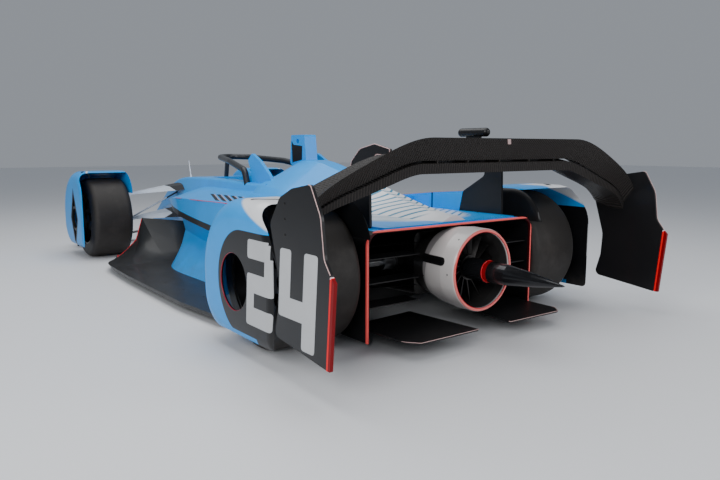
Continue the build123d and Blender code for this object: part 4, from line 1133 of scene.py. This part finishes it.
# %% Screws
HEAD_SIDES = 12


def skin_rings(bm, rings):
    "Faces between rings of vertices, with both ends closed."
    count = len(rings[0])
    for lower, upper in zip(rings, rings[1:]):
        for i in range(count):
            k = (i + 1) % count
            bm.faces.new((lower[i], lower[k], upper[k], upper[i]))
    bm.faces.new(rings[-1])
    bm.faces.new(list(reversed(rings[0])))


def screw(bm, place, axis, way, target, radius=0.0055, height=0.0016):
    "Adds one domed head where a ray from place meets the panel."
    ray = Vector([0.0, 0.0, 0.0])
    ray[axis] = way
    hit, normal = skin_of(target).ray_cast(Vector(place), ray, 0.5)[:2]
    if hit is None:
        return
    turn = normal.to_track_quat("Z", "Y")
    angles = [math.tau * i / HEAD_SIDES for i in range(HEAD_SIDES)]
    rings = []
    for r, h in ((radius, -0.001), (radius, height * 0.5), (radius * 0.72, height),
                 (radius * 0.34, height * 1.02), (radius * 0.30, height * 0.35)):
        spots = [Vector((r * math.cos(a), r * math.sin(a), h)) for a in angles]
        rings.append([bm.verts.new(hit + turn @ spot) for spot in spots])
    skin_rings(bm, rings)


def screw_rows():
    bm = bmesh.new()
    for side in SIDES:
        for k in range(9):
            screw(bm, (-0.45 - 0.14 * k, side * 0.44, 1.0), 2, -1, "engine_cover")
        for k in range(8):
            screw(bm, (0.95 - 0.26 * k, side * (0.90 - 0.02 * abs(k - 3)), 0.30), 2, -1, "floor")
        for k in range(6):
            screw(bm, (2.20 - 0.17 * k, side * (0.10 + 0.022 * k), 0.9), 2, -1, "tub")
        for z in (0.60, 0.66, 0.72):
            screw(bm, (-2.02, side * 1.3, z), 1, -side, "endplates")
        for x, z in ((-1.99, 0.497), (-1.99, 0.335), (-1.80, 0.300)):
            screw(bm, (x, side * 0.5, z), 1, -side, "rotor_housing", 0.004)
        for x in (-1.60, -1.70, -1.80):
            screw(bm, (x, side * 0.53, 0.8), 2, -1, "tunnel_box")
    return finish_piece("panel_screws", bm, "chassis", dark_metal)


piece = screw_rows()
print(piece.name, "faces:", len(piece.data.polygons))

# %% [markdown]
# ## Seat and head pads
# The driver's seat is a shell lined with foam under fireproof cloth. The pad starts as the
# solid's own shape, a little smaller, is remeshed into even cells, and is blown up by a
# cloth simulation with its move capped. The sewn channels are pressed in afterwards,
# because the remesh would erase them.


# %% Padding by cloth simulation
PRESSURE, BLOW_FRAMES = 4.0, 20


def baked(piece):
    "The mesh as its modifiers show it, with the modifiers gone."
    shown = piece.evaluated_get(bpy.context.evaluated_depsgraph_get())
    mesh = bpy.data.meshes.new_from_object(shown)
    piece.modifiers.clear()
    piece.data = mesh


def padded_piece(name, node, inset, voxel, cap, channels, material):
    piece = bpy.data.objects.new(name, nodes[node].data.copy())
    bpy.context.scene.collection.objects.link(piece)
    spots = [v.co.copy() for v in piece.data.vertices]
    low = [min(s[i] for s in spots) for i in range(3)]
    high = [max(s[i] for s in spots) for i in range(3)]
    for vert in piece.data.vertices:
        for i in range(3):
            middle, size = (low[i] + high[i]) / 2, high[i] - low[i]
            vert.co[i] = middle + (vert.co[i] - middle) * (1 - 2 * inset / size)
    remesh = piece.modifiers.new("Remesh", "REMESH")
    remesh.mode = "VOXEL"
    remesh.voxel_size = voxel
    baked(piece)
    start = [v.co.copy() for v in piece.data.vertices]
    blown = piece.modifiers.new("Cloth", "CLOTH")
    blown.settings.use_pressure = True
    blown.settings.uniform_pressure_force = PRESSURE
    blown.settings.effector_weights.gravity = 0.0
    for frame_number in range(1, BLOW_FRAMES + 1):
        bpy.context.scene.frame_set(frame_number)
    baked(piece)
    bpy.context.scene.frame_set(1)
    for vert, was in zip(piece.data.vertices, start):
        move = vert.co - was
        if move.length > cap:
            vert.co = was + move * (cap / move.length)
    normals = [v.normal.copy() for v in piece.data.vertices]
    for vert, normal in zip(piece.data.vertices, normals):
        dent = 0.0
        for axis, value, depth, width in channels:
            dent = max(dent, depth * math.exp(-((vert.co[axis] - value) / width) ** 2))
        vert.co -= normal * dent
    smooth = piece.modifiers.new("Subdivision", "SUBSURF")
    smooth.levels = smooth.render_levels = 1
    baked(piece)
    piece.data.materials.clear()
    piece.data.materials.append(material)
    for polygon in piece.data.polygons:
        polygon.material_index = 0
        polygon.use_smooth = True
    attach(piece, "chassis")
    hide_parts(node)
    print(name, "faces:", len(piece.data.polygons))


seat_channels = [(1, y, 0.006, 0.006) for y in (-0.120, -0.040, 0.040, 0.120)] + [(2, 0.40, 0.005, 0.006)]
head_channels = [(1, y, 0.005, 0.005) for y in (-0.075, 0.0, 0.075)]
padded_piece("seat_pad", "seat", 0.006, 0.006, 0.005, seat_channels, seat_cloth)
padded_piece("head_pad", "headrest", 0.005, 0.004, 0.004, head_channels, pad_cloth)

# %% [markdown]
# ## Harness
# Flat webbing is modelled as a ribbon with real thickness: two shoulder straps and two lap
# straps meet in a flat buckle with rounded edges.

# %% Straps and buckle
STRAP_WIDTH = 0.044


def ribbon(bm, points, width, thickness=0.003):
    "A flat strap through the points, its width square to its run and level with the seat."
    rows = []
    spots = [Vector(p) for p in points]
    for i, spot in enumerate(spots):
        run = (spots[min(i + 1, len(spots) - 1)] - spots[max(i - 1, 0)]).normalized()
        across = run.cross(Vector((0.55, 0.0, 0.83))).normalized() * width / 2
        lift = across.cross(run).normalized() * thickness / 2
        corners = ((across, lift), (-across, lift), (-across, -lift), (across, -lift))
        rows.append([bm.verts.new(spot + a + b) for a, b in corners])
    skin_rings(bm, rows)


def eased_line(points, count=6):
    "More points between the given ones, on a smooth curve."
    spots = [Vector(p) for p in points]
    spots = [spots[0]] + spots + [spots[-1]]
    result = []
    for i in range(1, len(spots) - 2):
        p0, p1, p2, p3 = spots[i - 1:i + 3]
        for k in range(count):
            t = k / count
            result.append(0.5 * (2 * p1 + (p2 - p0) * t + (2 * p0 - 5 * p1 + 4 * p2 - p3) * t * t
                                 + (3 * p1 - p0 - 3 * p2 + p3) * t ** 3))
    return result + [spots[-2]]


def make_harness():
    bm = bmesh.new()
    for side in SIDES:
        shoulder = ((-0.268, side * 0.070, 0.580), (-0.232, side * 0.066, 0.470),
                    (-0.172, side * 0.050, 0.362), (-0.110, side * 0.022, 0.334))
        lap = ((-0.165, side * 0.165, 0.330), (-0.135, side * 0.100, 0.336), (-0.106, side * 0.030, 0.332))
        for points in (shoulder, lap):
            ribbon(bm, eased_line(points), STRAP_WIDTH)
    return finish_piece("harness_straps", bm, "chassis", belt_webbing)


def make_buckle():
    bm = bmesh.new()
    rounded_box(bm, (-0.128, -0.030, 0.330), (-0.068, 0.030, 0.346), 0.006)
    return finish_piece("harness_buckle", bm, "chassis", steel)


for piece in (make_harness(), make_buckle()):
    print(piece.name, "faces:", len(piece.data.polygons))

# %% [markdown]
# ## Hand wheel
# A racing hand wheel is a flat carbon plate with a small screen and rows of caps that the
# thumbs reach. The grips are the plate's two holes, so only what stands on its rear face is
# added here.

# %% Screen and caps on the hand wheel
PLATE_X, CAP_HALF = 0.431, 0.006
CAP_SPOTS = [(y, z) for y in (-0.105, -0.088, 0.088, 0.105) for z in (0.590, 0.504)]
CAP_SPOTS += [(y, 0.526) for y in (-0.030, -0.010, 0.010, 0.030)]


def make_screen():
    bm = bmesh.new()
    rounded_box(bm, (0.4265, -0.046, 0.556), (PLATE_X, 0.046, 0.600), 0.0015)
    return finish_piece("wheel_screen", bm, "chassis", black_trim_and_shade)


def make_caps():
    bm = bmesh.new()
    for y, z in CAP_SPOTS:
        rounded_box(bm, (0.4255, y - CAP_HALF, z - CAP_HALF), (PLATE_X, y + CAP_HALF, z + CAP_HALF), 0.0018)
    return finish_piece("wheel_caps", bm, "chassis", number_grey)


for piece in (make_screen(), make_caps()):
    print(piece.name, "faces:", len(piece.data.polygons))

# %% [markdown]
# ## Stage and light
# The car stands on a pale floor in soft studio light: one wide light over it, one at its
# left where the photo is brightest, and a weaker one behind. Wide lights give the long soft
# gleams that show a body's curves.


# %% Floor and lights
def make_floor(half=30.0):
    bm = bmesh.new()
    bmesh.ops.create_grid(bm, x_segments=1, y_segments=1, size=half)
    mesh = bpy.data.meshes.new("studio_floor")
    bm.to_mesh(mesh)
    bm.free()
    material = bpy.data.materials.new("studio_floor")
    material.use_nodes = True
    shader = material.node_tree.nodes["Principled BSDF"]
    shader.inputs["Base Color"].default_value = (0.80, 0.81, 0.83, 1.0)
    shader.inputs["Roughness"].default_value = 0.5
    mesh.materials.append(material)
    floor = bpy.data.objects.new("studio_floor", mesh)
    bpy.context.scene.collection.objects.link(floor)


def area_light(name, place, aim, size, power):
    data = bpy.data.lights.new(name, "AREA")
    data.shape = "RECTANGLE"
    data.size, data.size_y = size
    data.energy = power
    light = bpy.data.objects.new(name, data)
    light.location = place
    light.rotation_euler = (Vector(aim) - Vector(place)).to_track_quat("-Z", "Y").to_euler()
    bpy.context.scene.collection.objects.link(light)


make_floor()
area_light("over", (0.0, 0.5, 5.0), (0.0, 0.0, 0.3), (7.0, 4.0), 230.0)
area_light("left_key", (-4.5, 5.5, 3.2), (-0.8, 0.0, 0.4), (4.0, 2.5), 230.0)
area_light("rear_fill", (-6.5, -3.0, 2.5), (-1.2, 0.0, 0.4), (3.0, 2.0), 90.0)
world = bpy.data.worlds.new("studio")
world.use_nodes = True
sky = world.node_tree.nodes["Background"]
sky.inputs["Color"].default_value = (0.80, 0.86, 0.95, 1.0)
sky.inputs["Strength"].default_value = 0.36
bpy.context.scene.world = world
print("lights:", len(bpy.data.lights))

# %% [markdown]
# ## Camera
# The camera stands where the photograph was taken from: low behind the left rear wheel. Its
# place, turn and lens were found by fitting a pinhole camera to points of the photo.

# %% Camera
YAW, PITCH = math.radians(-36.666), math.radians(8.078)
camera_data = bpy.data.cameras.new("photo_camera")
camera_data.lens = 32.5
camera_data.sensor_width = 36.0
camera_data.sensor_fit = "HORIZONTAL"
camera = bpy.data.objects.new("photo_camera", camera_data)
camera.location = (-4.1645, 2.3366, 0.93)
gaze = Vector((math.cos(YAW) * math.cos(PITCH), math.sin(YAW) * math.cos(PITCH), -math.sin(PITCH)))
camera.rotation_euler = gaze.to_track_quat("-Z", "Y").to_euler()
bpy.context.scene.collection.objects.link(camera)
bpy.context.scene.camera = camera
print("camera at", tuple(round(v, 3) for v in camera.location))
